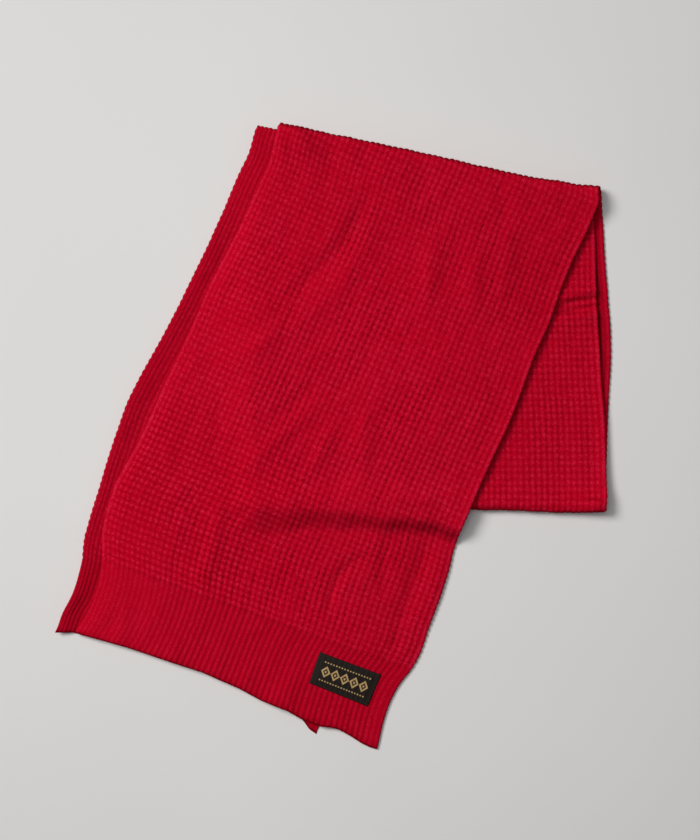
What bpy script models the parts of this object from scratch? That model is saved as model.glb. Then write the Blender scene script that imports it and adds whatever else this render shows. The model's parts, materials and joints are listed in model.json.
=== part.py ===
"""A long knitted scarf, folded three times and laid flat.

The scarf is one strip, about 0.31 m wide and 1.77 m long, with a ribbed cuff
at each end.  It lies in four layers.  From the floor up they are the lower,
back, under and front stretches, joined by a half-round fold at the bottom of
the back band and by two, one inside the other, along the top.

Every stretch is a closed wall of cloth, lofted through one ring for each row
of its section table.  The ribs are raised in the outer points of the wall,
over a plain inside.

Millimetres in the tables, metres in the meshes.  +X is to the right, +Y runs
along the scarf towards the top folds, +Z is up.  The origin is on the floor
at the centre of the footprint.
"""

from collections import namedtuple

import bpy
import numpy as np

# --- Driving dimensions, in millimetres -----------------------------------

MM = 0.001                # metres in a millimetre
CLOTH = 3.2               # thickness of the knitted cloth, at its rib tops
LAYER_GAP = 0.5           # air between one layer and the next
PITCH = CLOTH + LAYER_GAP
SEAM_GAP = 0.4            # between two stretches where one runs on as the other
RIBS = 58                 # ribs across the strip
BODY_RIB = 0.45           # height of the waffle's lengthwise ribs
CUFF_RIB = 0.95           # height of the cuff's ribs
CUFF_LENGTH = 76.0
CUFF_BLEND = 12.0         # length in which the ribbing turns into waffle
EDGE_ROLL = 0.5           # width of the rolled selvedge, in ribs
HEM_THINNING = 0.45       # thickness of the rounded rim, as a share of the cloth's

LOFT = 1.5                # how far the front stretch puffs up off the layer below
FOLD_PUFF = 2.4           # extra puff beside the top fold
FOLD_PUFF_REACH = 24.0
BOTTOM_PUFF = 1.2         # extra puff beside the bottom fold
BOTTOM_CROWN = 6.0        # full puff this far in from the bottom fold
BOTTOM_PUFF_REACH = 14.0
UNDER_FALL_START = 0.5    # where the under stretch leaves the back band's edge
UNDER_FALL = 14.0         # length in which it falls to the floor
FRONT_FALL = 15.5         # length in which the front stretch falls

LABEL_THICKNESS = 0.9
LABEL_GAP = 0.3

# --- Section tables --------------------------------------------------------

Section = namedtuple("Section", "left_x left_y right_x right_y")

# The front stretch, from its hem to the start of the top fold.
FRONT = [
    Section(-245.8, -185.9, 41.1, -297.1),
    Section(-244.4, -183.8, 41.7, -294.7),
    Section(-235.1, -169.0, 46.3, -275.0),
    Section(-226.8, -150.9, 52.7, -255.0),
    Section(-221.9, -134.0, 62.5, -236.0),
    Section(-219.8, -116.5, 74.0, -221.1),
    Section(-219.8, -106.0, 81.5, -207.5),
    Section(-220.0, -97.0, 91.0, -180.0),
    Section(-219.6, -89.0, 101.5, -151.5),
    Section(-218.4, -83.0, 109.5, -127.0),
    Section(-217.2, -77.5, 113.5, -110.0),
    Section(-215.8, -71.5, 116.2, -101.0),
    Section(-213.9, -65.0, 119.0, -92.0),
    Section(-211.5, -57.5, 123.0, -82.5),
    Section(-208.2, -46.3, 129.0, -68.5),
    Section(-199.5, -30.0, 138.5, -47.5),
    Section(-184.0, -2.0, 152.0, -18.0),
    Section(-170.5, 27.0, 166.0, 12.0),
    Section(-158.0, 55.0, 177.5, 41.0),
    Section(-144.5, 83.0, 189.5, 74.5),
    Section(-131.0, 113.0, 204.5, 108.5),
    Section(-118.0, 143.0, 215.3, 139.0),
    Section(-103.0, 172.0, 226.5, 167.0),
    Section(-87.1, 202.0, 238.0, 190.0),
    Section(-73.0, 232.5, 246.0, 209.0),
    Section(-61.5, 259.0, 250.1, 221.5),
]

# The under stretch, from its hem to the start of the inner top fold.
UNDER = [
    Section(-263.8, -185.9, -16.8, -281.9),
    Section(-262.9, -184.2, -16.0, -280.4),
    Section(-256.7, -167.4, -4.0, -264.0),
    Section(-247.6, -149.8, 12.0, -246.0),
    Section(-241.5, -130.7, 34.0, -224.0),
    Section(-238.1, -116.1, 52.0, -205.0),
    Section(-236.5, -104.0, 66.0, -186.0),
    Section(-234.5, -94.0, 78.0, -166.0),
    Section(-232.0, -86.0, 87.0, -146.0),
    Section(-230.0, -78.5, 95.0, -124.0),
    Section(-228.0, -71.5, 101.5, -104.0),
    Section(-226.0, -65.0, 106.5, -91.0),
    Section(-223.8, -58.0, 110.5, -80.0),
    Section(-221.0, -48.5, 115.5, -66.5),
    Section(-215.0, -26.0, 127.0, -42.0),
    Section(-205.0, 6.0, 142.0, -9.0),
    Section(-194.7, 34.0, 157.0, 25.0),
    Section(-180.5, 62.0, 170.0, 56.0),
    Section(-163.8, 92.0, 183.0, 89.0),
    Section(-147.0, 124.0, 197.0, 121.0),
    Section(-132.0, 155.0, 209.0, 149.0),
    Section(-117.5, 185.0, 220.5, 174.0),
    Section(-103.5, 216.0, 231.5, 196.0),
    Section(-90.0, 248.0, 238.5, 211.0),
    Section(-80.0, 268.0, 241.0, 219.0),
]

# The back stretch, from the inner top fold down to the bottom fold.
BACK = [
    Section(-62.5, 262.0, 246.5, 207.0),
    Section(-62.0, 236.0, 247.8, 186.0),
    Section(-62.5, 206.0, 247.8, 162.0),
    Section(-63.0, 172.0, 247.8, 134.0),
    Section(-63.5, 140.0, 248.6, 111.0),
    Section(-64.0, 106.0, 250.6, 85.0),
    Section(-65.0, 70.0, 253.2, 52.0),
    Section(-65.5, 36.0, 256.0, 24.0),
    Section(-66.0, 4.0, 257.3, -4.0),
    Section(-65.5, -26.0, 258.0, -30.0),
    Section(-65.0, -48.0, 258.4, -48.0),
    Section(-65.0, -58.0, 258.3, -58.5),
]

# The lower stretch, from the outer top fold down to the bottom fold.
LOWER = [
    Section(-49.0, 250.0, 255.4, 196.0),
    Section(-52.5, 215.0, 256.8, 168.0),
    Section(-56.0, 175.0, 259.4, 133.0),
    Section(-59.0, 135.0, 262.0, 100.0),
    Section(-61.0, 95.0, 262.6, 72.0),
    Section(-63.0, 55.0, 261.5, 42.0),
    Section(-64.5, 15.0, 260.1, 6.0),
    Section(-65.0, -22.0, 258.9, -27.0),
    Section(-65.0, -49.5, 258.4, -49.5),
]

Fold = namedtuple("Fold", "left_x left_y right_x right_y depth tail skew rings")

# Each fold's outermost line, the depth from it to its start, the flat tail
# past its end, and how far the ribs slide along it for each mm they turn.
OUTER_FOLD = Fold(-49.6, 296.7, 253.6, 236.4, 8.0, 8.0, 0.20, 6)
INNER_FOLD = Fold(-71.9, 292.0, 243.5, 226.5, 1.9, 4.0, 0.20, 5)
BOTTOM_FOLD = Fold(-65.0, -71.5, 257.8, -71.5, 2.6, 8.0, 0.0, 5)

Wave = namedtuple("Wave", "across inset")

# How far a hem or a fold line lies inside its chord, by the share of the
# width from the left.
FRONT_HEM = [
    Wave(0.00, 0.0), Wave(0.08, 2.3), Wave(0.28, 5.2), Wave(0.41, 8.4),
    Wave(0.54, 6.9), Wave(0.62, 4.9), Wave(0.75, 1.0), Wave(0.87, 4.3),
    Wave(0.93, 2.4), Wave(1.00, 0.0),
]
UNDER_HEM = [
    Wave(0.00, 0.0), Wave(0.07, 7.8), Wave(0.17, 12.0), Wave(0.32, 14.5),
    Wave(0.55, 18.0), Wave(0.78, 15.5), Wave(0.90, 9.6), Wave(0.96, 2.0),
    Wave(1.00, 0.0),
]
TOP_FOLD_BOW = [
    Wave(0.00, 0.0), Wave(0.30, 0.2), Wave(0.50, 1.3), Wave(0.75, 3.3),
    Wave(0.90, 2.0), Wave(1.00, 0.0),
]
BOTTOM_BOW = [
    Wave(0.00, 4.5), Wave(0.45, 4.5), Wave(0.63, 2.5), Wave(0.75, 1.3),
    Wave(0.85, 0.0), Wave(0.93, -1.0), Wave(1.00, 0.0),
]
NO_WAVE = [Wave(0.0, 0.0), Wave(1.0, 0.0)]

Edge = namedtuple("Edge", "along at")

# The back band's left edge (x by y), and the lines where the front stretch
# starts to fall off the band's left edge (x by y) and bottom fold (y by x).
BAND_LEFT = [
    Edge(-75.0, -68.0), Edge(0.0, -69.0), Edge(100.0, -67.0),
    Edge(200.0, -65.0), Edge(260.0, -65.5), Edge(293.0, -71.9),
]
FRONT_DROP_LEFT = [
    Edge(-75.0, -71.0), Edge(0.0, -72.0), Edge(100.0, -70.0),
    Edge(200.0, -68.0), Edge(260.0, -68.0), Edge(293.0, -71.9),
]
FRONT_DROP_BOTTOM = [
    Edge(-80.0, -69.0), Edge(15.0, -70.5), Edge(63.0, -74.0),
    Edge(96.0, -80.0), Edge(122.0, -91.0),
]
# The under stretch's right edge (x by y), past which the front one sags.
UNDER_RIGHT = [
    Edge(-282.0, -16.8), Edge(-246.0, 12.0), Edge(-205.0, 52.0),
    Edge(-166.0, 78.0), Edge(-124.0, 95.0), Edge(-66.0, 115.0),
]
SAG = 2.0                 # how far it sags there
SAG_REACH = 26.0

Crease = namedtuple("Crease", "x0 y0 x1 y1 x2 y2 rise half_width")

# Soft creases of the front stretch: ridges rise, troughs fall.
FRONT_CREASES = [
    Crease(36.0, 236.0, 14.0, 190.0, -36.0, 140.0, -1.5, 8.0),
    Crease(50.0, 220.0, 18.0, 140.0, -84.0, 80.0, 1.6, 9.0),
    Crease(-10.0, 58.0, -32.0, 28.0, -64.0, -4.0, 1.0, 7.0),
    Crease(18.0, 0.0, 25.0, -12.0, 31.0, -28.0, 0.8, 6.0),
    Crease(92.0, 180.0, 89.0, 155.0, 84.0, 128.0, 0.7, 6.0),
    Crease(126.0, 174.0, 121.0, 150.0, 114.0, 122.0, 0.7, 6.0),
    Crease(160.0, 168.0, 155.0, 148.0, 148.0, 126.0, 0.7, 6.0),
    Crease(-17.0, 278.0, -13.0, 267.0, -10.0, 256.0, -1.2, 9.0),
    Crease(82.0, 250.0, 87.0, 238.0, 90.0, 226.0, -1.2, 9.0),
    Crease(158.0, 236.0, 163.0, 224.0, 166.0, 212.0, -1.2, 9.0),
    Crease(-110.0, -52.0, -124.0, -92.0, -134.0, -138.0, 1.4, 9.0),
    Crease(82.0, -104.0, 66.0, -150.0, 42.0, -202.0, -1.4, 9.0),
    Crease(102.0, -112.0, 98.0, -145.0, 84.0, -180.0, 1.1, 9.0),
    Crease(40.0, -104.0, 41.0, -128.0, 39.0, -154.0, -0.9, 6.0),
]
# The one crease of the back stretch that shows.
BACK_CREASES = [
    Crease(212.0, 124.0, 232.0, 128.0, 256.0, 134.0, 0.35, 4.0),
]

Span = namedtuple("Span", "start stop spacing")

# Points across each wall, counted in ribs.  Outer points lie two to a rib
# where the cloth shows, and the plain inside needs fewer.
FRONT_OUTER = [Span(0.25, 0.5, 0.25), Span(0.5, 57.5, 0.5), Span(57.5, 57.75, 0.25)]
FRONT_INNER = [Span(0.4, 2.0, 1.6), Span(2.0, 30.0, 2.0), Span(30.0, 57.6, 3.45)]
UNDER_OUTER = [
    Span(0.25, 0.5, 0.25), Span(0.5, 5.0, 0.5), Span(5.0, 31.0, 2.0),
    Span(31.0, 57.5, 5.3), Span(57.5, 57.75, 0.25),
]
UNDER_INNER = [Span(0.4, 2.0, 1.6), Span(2.0, 32.0, 2.0), Span(32.0, 57.6, 5.12)]
BACK_OUTER = [
    Span(0.25, 1.0, 0.75), Span(1.0, 33.0, 4.0), Span(33.0, 57.5, 0.5),
    Span(57.5, 57.75, 0.25),
]
BACK_INNER = [Span(0.4, 1.0, 0.6), Span(1.0, 57.6, 5.66)]
LOWER_OUTER = [
    Span(0.25, 1.0, 0.75), Span(1.0, 55.0, 9.0), Span(55.0, 57.5, 0.5),
    Span(57.5, 57.75, 0.25),
]
LOWER_INNER = [Span(0.4, 1.0, 0.6), Span(1.0, 57.6, 9.44)]

Corner = namedtuple("Corner", "x y")

LABEL_CORNERS = [
    Corner(-12.3, -205.6), Corner(44.5, -228.3), Corner(33.3, -257.9), Corner(-23.4, -235.1),
]
LABEL_CELLS = (8, 4)

# --- Colours ---------------------------------------------------------------

RED_KNIT = (0.423, 0.0018, 0.016, 1.0)
BLACK_WEAVE = (0.013, 0.012, 0.013, 1.0)


def clear_scene():
    for item in list(bpy.data.objects):
        bpy.data.objects.remove(item, do_unlink=True)


def cloth_material(name, colour, roughness):
    material = bpy.data.materials.new(name)
    material.use_nodes = True
    shader = material.node_tree.nodes["Principled BSDF"]
    shader.inputs["Base Color"].default_value = colour
    shader.inputs["Roughness"].default_value = roughness
    shader.inputs["Metallic"].default_value = 0.0
    return material


# --- Heights ---------------------------------------------------------------

def by_table(rows, value):
    """The second column of a two-column table, at a value of its first."""
    first, second = zip(*rows)
    return np.interp(value, first, second)


def smooth(share):
    share = np.clip(share, 0.0, 1.0)
    return share * share * (3.0 - 2.0 * share)


def band_bottom(x):
    """The bottom fold's outermost line, with its bow."""
    width = BOTTOM_FOLD.right_x - BOTTOM_FOLD.left_x
    return BOTTOM_FOLD.left_y + by_table(BOTTOM_BOW, (x - BOTTOM_FOLD.left_x) / width)


def outside(left, bottom, x, y):
    """How far a point lies outside a left edge and a bottom line, round their corner."""
    beside = left - x
    below = bottom - y
    corner = np.hypot(np.maximum(beside, 0.0), np.maximum(below, 0.0))
    return np.where((beside > 0.0) & (below > 0.0), corner, np.maximum(beside, below))


def inside_line(fold, x, y):
    """How far a point lies inside a fold's outermost line."""
    run = np.hypot(fold.right_x - fold.left_x, fold.right_y - fold.left_y)
    along_x = (fold.right_x - fold.left_x) / run
    along_y = (fold.right_y - fold.left_y) / run
    return (x - fold.left_x) * along_y - (y - fold.left_y) * along_x


def bottom_puff(x, y):
    """The back layers swell up beside the bottom fold, and lift what lies on them."""
    past_crown = np.maximum(y - band_bottom(x) - BOTTOM_CROWN, 0.0)
    return BOTTOM_PUFF * np.exp(-(past_crown / BOTTOM_PUFF_REACH) ** 2)


def crease_rise(creases, x, y):
    """The sum of the creases at each point, each along a curve with faded ends."""
    share = np.linspace(0.03, 0.97, 17)
    fade = np.sqrt(np.sin(np.pi * share))
    rise = np.zeros_like(x)
    for crease in creases:
        curve_x = ((1 - share) ** 2 * crease.x0 + 2 * share * (1 - share) * crease.x1
                   + share ** 2 * crease.x2)
        curve_y = ((1 - share) ** 2 * crease.y0 + 2 * share * (1 - share) * crease.y1
                   + share ** 2 * crease.y2)
        distance = np.hypot(x[..., None] - curve_x, y[..., None] - curve_y)
        profile = fade * np.exp(-(distance / crease.half_width) ** 2)
        rise += crease.rise * profile.max(axis=-1)
    return rise


def lower_height(x, y):
    return np.zeros_like(x)


def back_height(x, y):
    return PITCH + bottom_puff(x, y) + crease_rise(BACK_CREASES, x, y)


def under_height(x, y):
    past = outside(by_table(BAND_LEFT, y), band_bottom(x), x, y)
    held = 1.0 - smooth((past - UNDER_FALL_START) / UNDER_FALL)
    return held * (2.0 * PITCH + bottom_puff(x, y))


def front_height(x, y):
    """Underside of the top layer: on the under stretch, puffed up and creased."""
    fallen = outside(by_table(FRONT_DROP_LEFT, y), by_table(FRONT_DROP_BOTTOM, x), x, y)
    held = 1.0 - smooth(fallen / FRONT_FALL)
    puff = FOLD_PUFF * np.exp(-(inside_line(OUTER_FOLD, x, y) / FOLD_PUFF_REACH) ** 2)
    loose = np.maximum(LOFT + crease_rise(FRONT_CREASES, x, y), 0.0) + puff
    past = x - by_table(UNDER_RIGHT, y)
    sag = SAG * smooth(past / SAG_REACH) * (1.0 - held)
    return PITCH + held * (2.0 * PITCH + bottom_puff(x, y)) + loose - sag


# --- Walls of cloth ----------------------------------------------------------

def fold_directions(fold, turn_down):
    """A fold's line, its unit direction, and the unit direction into the cloth."""
    line = np.array([fold.right_x - fold.left_x, fold.right_y - fold.left_y])
    along = line / np.hypot(*line)
    inward = np.array([along[1], -along[0]]) * (1.0 if turn_down else -1.0)
    return line, along, inward


def past_fold(fold, turn_down=True):
    """The section at which the cloth runs on past a fold's flat tail."""
    line, along, inward = fold_directions(fold, turn_down)
    depth = CLOTH / 2.0 + fold.depth + fold.tail + SEAM_GAP
    slide = fold.skew * (fold.depth * np.pi / 2.0 + fold.tail)
    left = np.array([fold.left_x, fold.left_y]) + depth * inward + slide * along
    right = left + line
    return Section(left[0], left[1], right[0], right[1])


class Rings:
    """Rings of points round a wall of cloth, gathered row by row."""

    def __init__(self, outer_ribs, inner_ribs):
        self.outer_share = np.array(outer_ribs) / RIBS
        self.inner_share = np.array(inner_ribs) / RIBS
        edges = np.array([0.0, 1.0])
        self.outer = np.concatenate([edges[:1], self.outer_share, edges[1:]])
        self.inner = self.inner_share[::-1]
        self.share = np.concatenate([self.outer, self.inner])
        self.side = np.where(np.arange(len(self.share)) < len(self.outer), 1.0, -1.0)
        self.points = []

    def offsets(self, rib_height, thinning):
        """Distance of each point from the middle of the wall, with rolled edges."""
        across = self.share * RIBS
        from_edge = np.minimum(across, RIBS - across) / EDGE_ROLL
        roll = np.sqrt(1.0 - (1.0 - np.clip(from_edge, 0.0, 1.0)) ** 2)
        ribbed = (self.side > 0.0) & (from_edge >= 1.0)
        valley = np.where(ribbed, rib_height * (0.5 + 0.5 * np.cos(2.0 * np.pi * across)), 0.0)
        return self.side * roll * (CLOTH / 2.0 - valley) * thinning

    def add_flat(self, section, height, rib_height, wave=NO_WAVE, fade=0.0, thinning=1.0):
        """One ring across the flat cloth, on the height of what lies below."""
        x = section.left_x + (section.right_x - section.left_x) * self.share
        y = section.left_y + (section.right_y - section.left_y) * self.share
        run = np.hypot(section.right_x - section.left_x, section.right_y - section.left_y)
        inset = by_table(wave, self.share) * fade
        x = x - inset * (section.right_y - section.left_y) / run
        y = y + inset * (section.right_x - section.left_x) / run
        z = height(x, y) + CLOTH / 2.0 + self.offsets(rib_height, thinning)
        self.points.append(np.column_stack([x, y, z]))

    def add_fold(self, fold, upper, lower, rib_height, turn_down=True, bow=NO_WAVE):
        """The rings of a half-round fold from the upper layer round to the lower.

        A fold at the top turns with its layers to the -Y side of it, and the
        fold at the bottom with its layers to the +Y side.
        """
        line, along, inward = fold_directions(fold, turn_down)
        start = np.array([fold.left_x, fold.left_y])
        offsets = self.offsets(rib_height, 1.0)
        bowed = by_table(bow, self.share)
        for step in range(fold.rings + 1):
            turn = np.pi * step / fold.rings
            depth = CLOTH / 2.0 + fold.depth * (1.0 - np.sin(turn)) + bowed
            slide = fold.skew * fold.depth * (turn - np.pi / 2.0)
            flat = (start + np.outer(self.share, line) + np.outer(depth, inward) + slide * along)
            top = upper(flat[:, 0], flat[:, 1]) + CLOTH / 2.0
            foot = lower(flat[:, 0], flat[:, 1]) + CLOTH / 2.0
            half = (top - foot) / 2.0
            normal = np.column_stack([-np.sin(turn) * half, np.cos(turn) * np.full(len(half), fold.depth)])
            normal /= np.hypot(normal[:, 0], normal[:, 1])[:, None]
            flat += np.outer(normal[:, 0] * offsets, inward)
            z = (top + foot) / 2.0 + half * np.cos(turn) + normal[:, 1] * offsets
            self.points.append(np.column_stack([flat, z]))
        foot = flat + np.outer(fold.tail - bowed, inward) + fold.tail * fold.skew * along
        z = lower(foot[:, 0], foot[:, 1]) + CLOTH / 2.0 - self.offsets(0.0, 1.0)
        self.points.append(np.column_stack([foot, z]))

    def object(self, name, material, flip=False):
        """Lofts the rings into a closed wall with a cap at each end.

        Every cell is split along the diagonal that runs with the fall of the
        cloth off the back band, so that neighbouring walls bend alike.
        """
        count = len(self.share)
        vertices = np.concatenate(self.points) * MM
        faces = []
        for row in range(len(self.points) - 1):
            for column in range(count):
                after = (column + 1) % count
                here, there = row * count, (row + 1) * count
                if self.side[column] > 0.0:
                    faces.append((here + column, here + after, there + column))
                    faces.append((here + after, there + after, there + column))
                else:
                    faces.append((here + column, here + after, there + after))
                    faces.append((here + column, there + after, there + column))
        last = (len(self.points) - 1) * count
        faces += [face[::-1] for face in self.cap(0)]
        faces += self.cap(last)
        if flip:
            faces = [face[::-1] for face in faces]
        mesh = bpy.data.meshes.new(name)
        mesh.from_pydata([tuple(vertex) for vertex in vertices], [], faces)
        mesh.materials.append(material)
        mesh.shade_smooth()
        mesh.set_sharp_from_angle(angle=np.radians(50.0))
        item = bpy.data.objects.new(name, mesh)
        bpy.context.scene.collection.objects.link(item)
        return item

    def cap(self, first):
        """Triangles between the outer and the inner points of one ring."""
        outer = list(range(len(self.outer)))
        inner = [0] + list(range(len(self.share) - 1, len(self.outer) - 1, -1)) + [outer[-1]]
        faces = []
        a, b = 0, 0
        while a < len(outer) - 1 or b < len(inner) - 1:
            next_outer = self.share[outer[a + 1]] if a < len(outer) - 1 else 2.0
            next_inner = self.share[inner[b + 1]] if b < len(inner) - 1 else 2.0
            if next_outer <= next_inner:
                corners = (outer[a], outer[a + 1], inner[b])
                a += 1
            else:
                corners = (outer[a], inner[b + 1], inner[b])
                b += 1
            if len(set(corners)) == 3:
                faces.append(tuple(first + corner for corner in corners))
        return faces


def columns(spans):
    """Places across the strip, in ribs, from spans of even spacing."""
    places = []
    for span in spans:
        places += list(np.arange(span.start, span.stop - 0.01, span.spacing))
    return places + [spans[-1].stop]


def along_cuff(section, hem):
    """Distance of a section from the hem, at the left edge."""
    return np.hypot(section.left_x - hem.left_x, section.left_y - hem.left_y)


def add_hemmed_rows(rings, sections, height, hem_wave):
    """The flat rows of a stretch that starts at a ribbed cuff."""
    for index, section in enumerate(sections):
        distance = along_cuff(section, sections[0])
        ribbing = 1.0 - smooth((distance - CUFF_LENGTH) / CUFF_BLEND + 0.5)
        rib_height = BODY_RIB + (CUFF_RIB - BODY_RIB) * ribbing
        fade = max(1.0 - distance / CUFF_LENGTH, 0.0)
        thinning = HEM_THINNING if index == 0 else 1.0
        rings.add_flat(section, height, rib_height if index else 0.0, hem_wave, fade, thinning)


def build_front(material):
    rings = Rings(columns(FRONT_OUTER), columns(FRONT_INNER))
    add_hemmed_rows(rings, FRONT, front_height, FRONT_HEM)
    rings.add_fold(OUTER_FOLD, front_height, lower_height, BODY_RIB, bow=TOP_FOLD_BOW)
    return rings.object("front_stretch", material)


def build_under(material):
    rings = Rings(columns(UNDER_OUTER), columns(UNDER_INNER))
    add_hemmed_rows(rings, UNDER, under_height, UNDER_HEM)
    rings.add_fold(INNER_FOLD, under_height, back_height, BODY_RIB)
    return rings.object("under_stretch", material)


def build_back(material):
    rings = Rings(columns(BACK_OUTER), columns(BACK_INNER))
    rings.add_flat(past_fold(INNER_FOLD), back_height, 0.0)
    for section in BACK:
        rings.add_flat(section, back_height, BODY_RIB)
    rings.add_fold(BOTTOM_FOLD, back_height, lower_height, BODY_RIB, turn_down=False, bow=BOTTOM_BOW)
    return rings.object("back_stretch", material, flip=True)


def build_lower(material):
    rings = Rings(columns(LOWER_OUTER), columns(LOWER_INNER))
    rings.add_flat(past_fold(OUTER_FOLD), lower_height, 0.0)
    for section in LOWER:
        rings.add_flat(section, lower_height, BODY_RIB)
    rings.add_flat(past_fold(BOTTOM_FOLD, turn_down=False), lower_height, 0.0)
    return rings.object("lower_stretch", material, flip=True)


def build_label(material):
    """A thin plate made from the cuff's own surface, moved out."""
    columns, rows = LABEL_CELLS
    corners = np.array(LABEL_CORNERS)
    across = np.linspace(0.0, 1.0, columns + 1)[None, :, None]
    down = np.linspace(0.0, 1.0, rows + 1)[:, None, None]
    top = corners[0] + (corners[1] - corners[0]) * across
    foot = corners[3] + (corners[2] - corners[3]) * across
    flat = (top + (foot - top) * down).reshape(-1, 2)
    base = front_height(flat[:, 0], flat[:, 1]) + CLOTH + LABEL_GAP
    under = np.column_stack([flat, base])
    upper = np.column_stack([flat, base + LABEL_THICKNESS])
    vertices = np.concatenate([upper, under]) * MM
    count = len(flat)
    faces = []
    for row in range(rows):
        for column in range(columns):
            a = row * (columns + 1) + column
            d = a + columns + 1
            faces.append((a, d, d + 1, a + 1))
            faces.append((count + a, count + a + 1, count + d + 1, count + d))
    rim = list(range(columns + 1))
    rim += [row * (columns + 1) + columns for row in range(1, rows + 1)]
    rim += [rows * (columns + 1) + column for column in range(columns - 1, -1, -1)]
    rim += [row * (columns + 1) for row in range(rows - 1, 0, -1)]
    for index, a in enumerate(rim):
        b = rim[(index + 1) % len(rim)]
        faces.append((a, b, count + b, count + a))
    mesh = bpy.data.meshes.new("label")
    mesh.from_pydata([tuple(vertex) for vertex in vertices], [], faces)
    mesh.materials.append(material)
    item = bpy.data.objects.new("label", mesh)
    bpy.context.scene.collection.objects.link(item)
    return item


def main():
    clear_scene()
    red = cloth_material("red_knit", RED_KNIT, 0.9)
    black = cloth_material("label_weave", BLACK_WEAVE, 0.7)
    build_lower(red)
    build_back(red)
    build_under(red)
    build_front(red)
    build_label(black)


main()
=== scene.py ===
# %% [markdown]
# # A waffle-knit scarf, folded in four layers
#
# The scarf is one long strip, knitted to its full width, with a ribbed cuff at
# each end.  It lies flat, folded three times: the front stretch on top, the
# under stretch below it, then the back stretch, and the lower stretch on the
# floor.  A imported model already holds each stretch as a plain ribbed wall.  This
# script gives every wall its real surface: the waffle of the body, the ribs of
# the cuffs, the woven label and its stitches.
#
# The lesson has four parts: shape the cloth with NumPy, raise the knit with
# Geometry Nodes, colour it with shader maths, and light it.

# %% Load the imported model
import json
from collections import namedtuple

import bpy
import numpy as np
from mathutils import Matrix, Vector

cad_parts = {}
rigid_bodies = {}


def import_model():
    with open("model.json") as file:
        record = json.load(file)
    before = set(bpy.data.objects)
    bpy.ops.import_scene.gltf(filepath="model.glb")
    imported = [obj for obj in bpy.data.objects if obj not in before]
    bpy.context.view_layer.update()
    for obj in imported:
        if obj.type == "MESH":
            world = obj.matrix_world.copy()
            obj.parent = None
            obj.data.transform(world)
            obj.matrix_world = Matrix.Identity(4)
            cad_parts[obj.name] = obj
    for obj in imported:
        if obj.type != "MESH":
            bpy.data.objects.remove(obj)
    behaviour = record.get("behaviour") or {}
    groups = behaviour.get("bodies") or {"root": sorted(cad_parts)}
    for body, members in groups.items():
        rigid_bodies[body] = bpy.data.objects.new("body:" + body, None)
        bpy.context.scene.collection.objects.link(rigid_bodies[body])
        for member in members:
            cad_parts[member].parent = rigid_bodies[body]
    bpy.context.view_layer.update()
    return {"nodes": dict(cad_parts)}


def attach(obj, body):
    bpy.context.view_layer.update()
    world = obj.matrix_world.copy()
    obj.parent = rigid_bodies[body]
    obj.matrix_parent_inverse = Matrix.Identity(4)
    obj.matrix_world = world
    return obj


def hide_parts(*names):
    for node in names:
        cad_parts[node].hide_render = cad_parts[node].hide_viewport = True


for item in list(bpy.data.objects):
    bpy.data.objects.remove(item, do_unlink=True)
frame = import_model()
print("the packed nodes are", sorted(frame["nodes"]))

# %% [markdown]
# ## The sizes that drive everything
#
# All sizes are in millimetres.  The knit is counted as a knitter counts it: in
# ribs across the strip, and in courses along it from the cuff's upper end.

# %% Cloth, knit and fold sizes
MM = 0.001                # metres in a millimetre
TURN = 2.0 * np.pi
CLOTH = 3.2               # thickness of the cloth at its rib tops
LAYER_GAP = 0.5           # air between two layers
PITCH = CLOTH + LAYER_GAP
RIBS = 58                 # lengthwise ribs across the strip
COURSE = 6.3              # length of one waffle cell, along the strip
CUFF_LENGTH = 76.0
HEM = -CUFF_LENGTH / COURSE  # the hem's place, in courses
HEM_TUCK = 1.0            # how far the plain underside stays inside the hem
CUFF_BLEND = 3.0          # length in which the ribbing turns into waffle
EDGE_ROLL = 0.5           # width of the round selvedge, in ribs

LOFT = 2.4                # how far the front stretch puffs up
FOLD_PUFF = 3.3           # extra puff beside the top fold
FOLD_PUFF_REACH = 26.0
CLEAR_OF_FOLD = 0.4       # where the sag starts, as a share of that reach
BOTTOM_PUFF = 5.2         # extra puff beside the bottom fold
BOTTOM_CROWN = 6.0
BOTTOM_PUFF_REACH = 14.0
UNDER_FALL_START = 0.5    # where the under stretch leaves the back band's edge
FLOOR_SAG = 5.7           # how far the front's right edge sags to the floor
BAND_SAG = 4.2            # and how far it sags to the back stretch
SAG_REACH = 80.0          # how wide the slope down to that edge is
SAG_POWER = 1.15
RIM_CURL = 1.1            # how far the front's right edge curls up again on the band
RIM_CURL_REACH = 7.0
PRESSED = 0.45            # share of the under stretch's thickness left at its hidden edge
PRESSED_REACH = 32.0
EDGE_LOFT = 0.2           # share of the loft left at the front's left edge
EDGE_LOFT_REACH = 17.0
CURL_REACH = 24.0         # how wide the under stretch's outer edge curls up
BACK_CURL = 1.9           # how far the back stretch's right edge curls up
BACK_CURL_REACH = 9.0
BACK_CURL_TOP = 180.0     # where that curl has died away under the layers above it
BACK_CURL_FADE = 40.0
CORNER_LIFT = 4.5         # how far the band's free corner lifts off the floor
CORNER_REACH = 34.0
BOW_FADE = 20.0           # length in which a bowed fold runs out straight
print("one layer takes", PITCH, "mm, and the hem lies", round(HEM, 1), "courses down")

# %% [markdown]
# ## Paths of the long edges
#
# Cloth is easiest to describe as a pattern cutter would, by the path of its two
# long edges.  Each row of a section table has a point on the left edge and one
# on the right edge, seen from above.  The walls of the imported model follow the
# same tables, so the knit drops straight onto them.

# %% Section tables
Section = namedtuple("Section", "left_x left_y right_x right_y")


def table(kind, *rows):
    """Rows of plain numbers as rows with named fields."""
    return [kind(*row) for row in rows]


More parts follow.
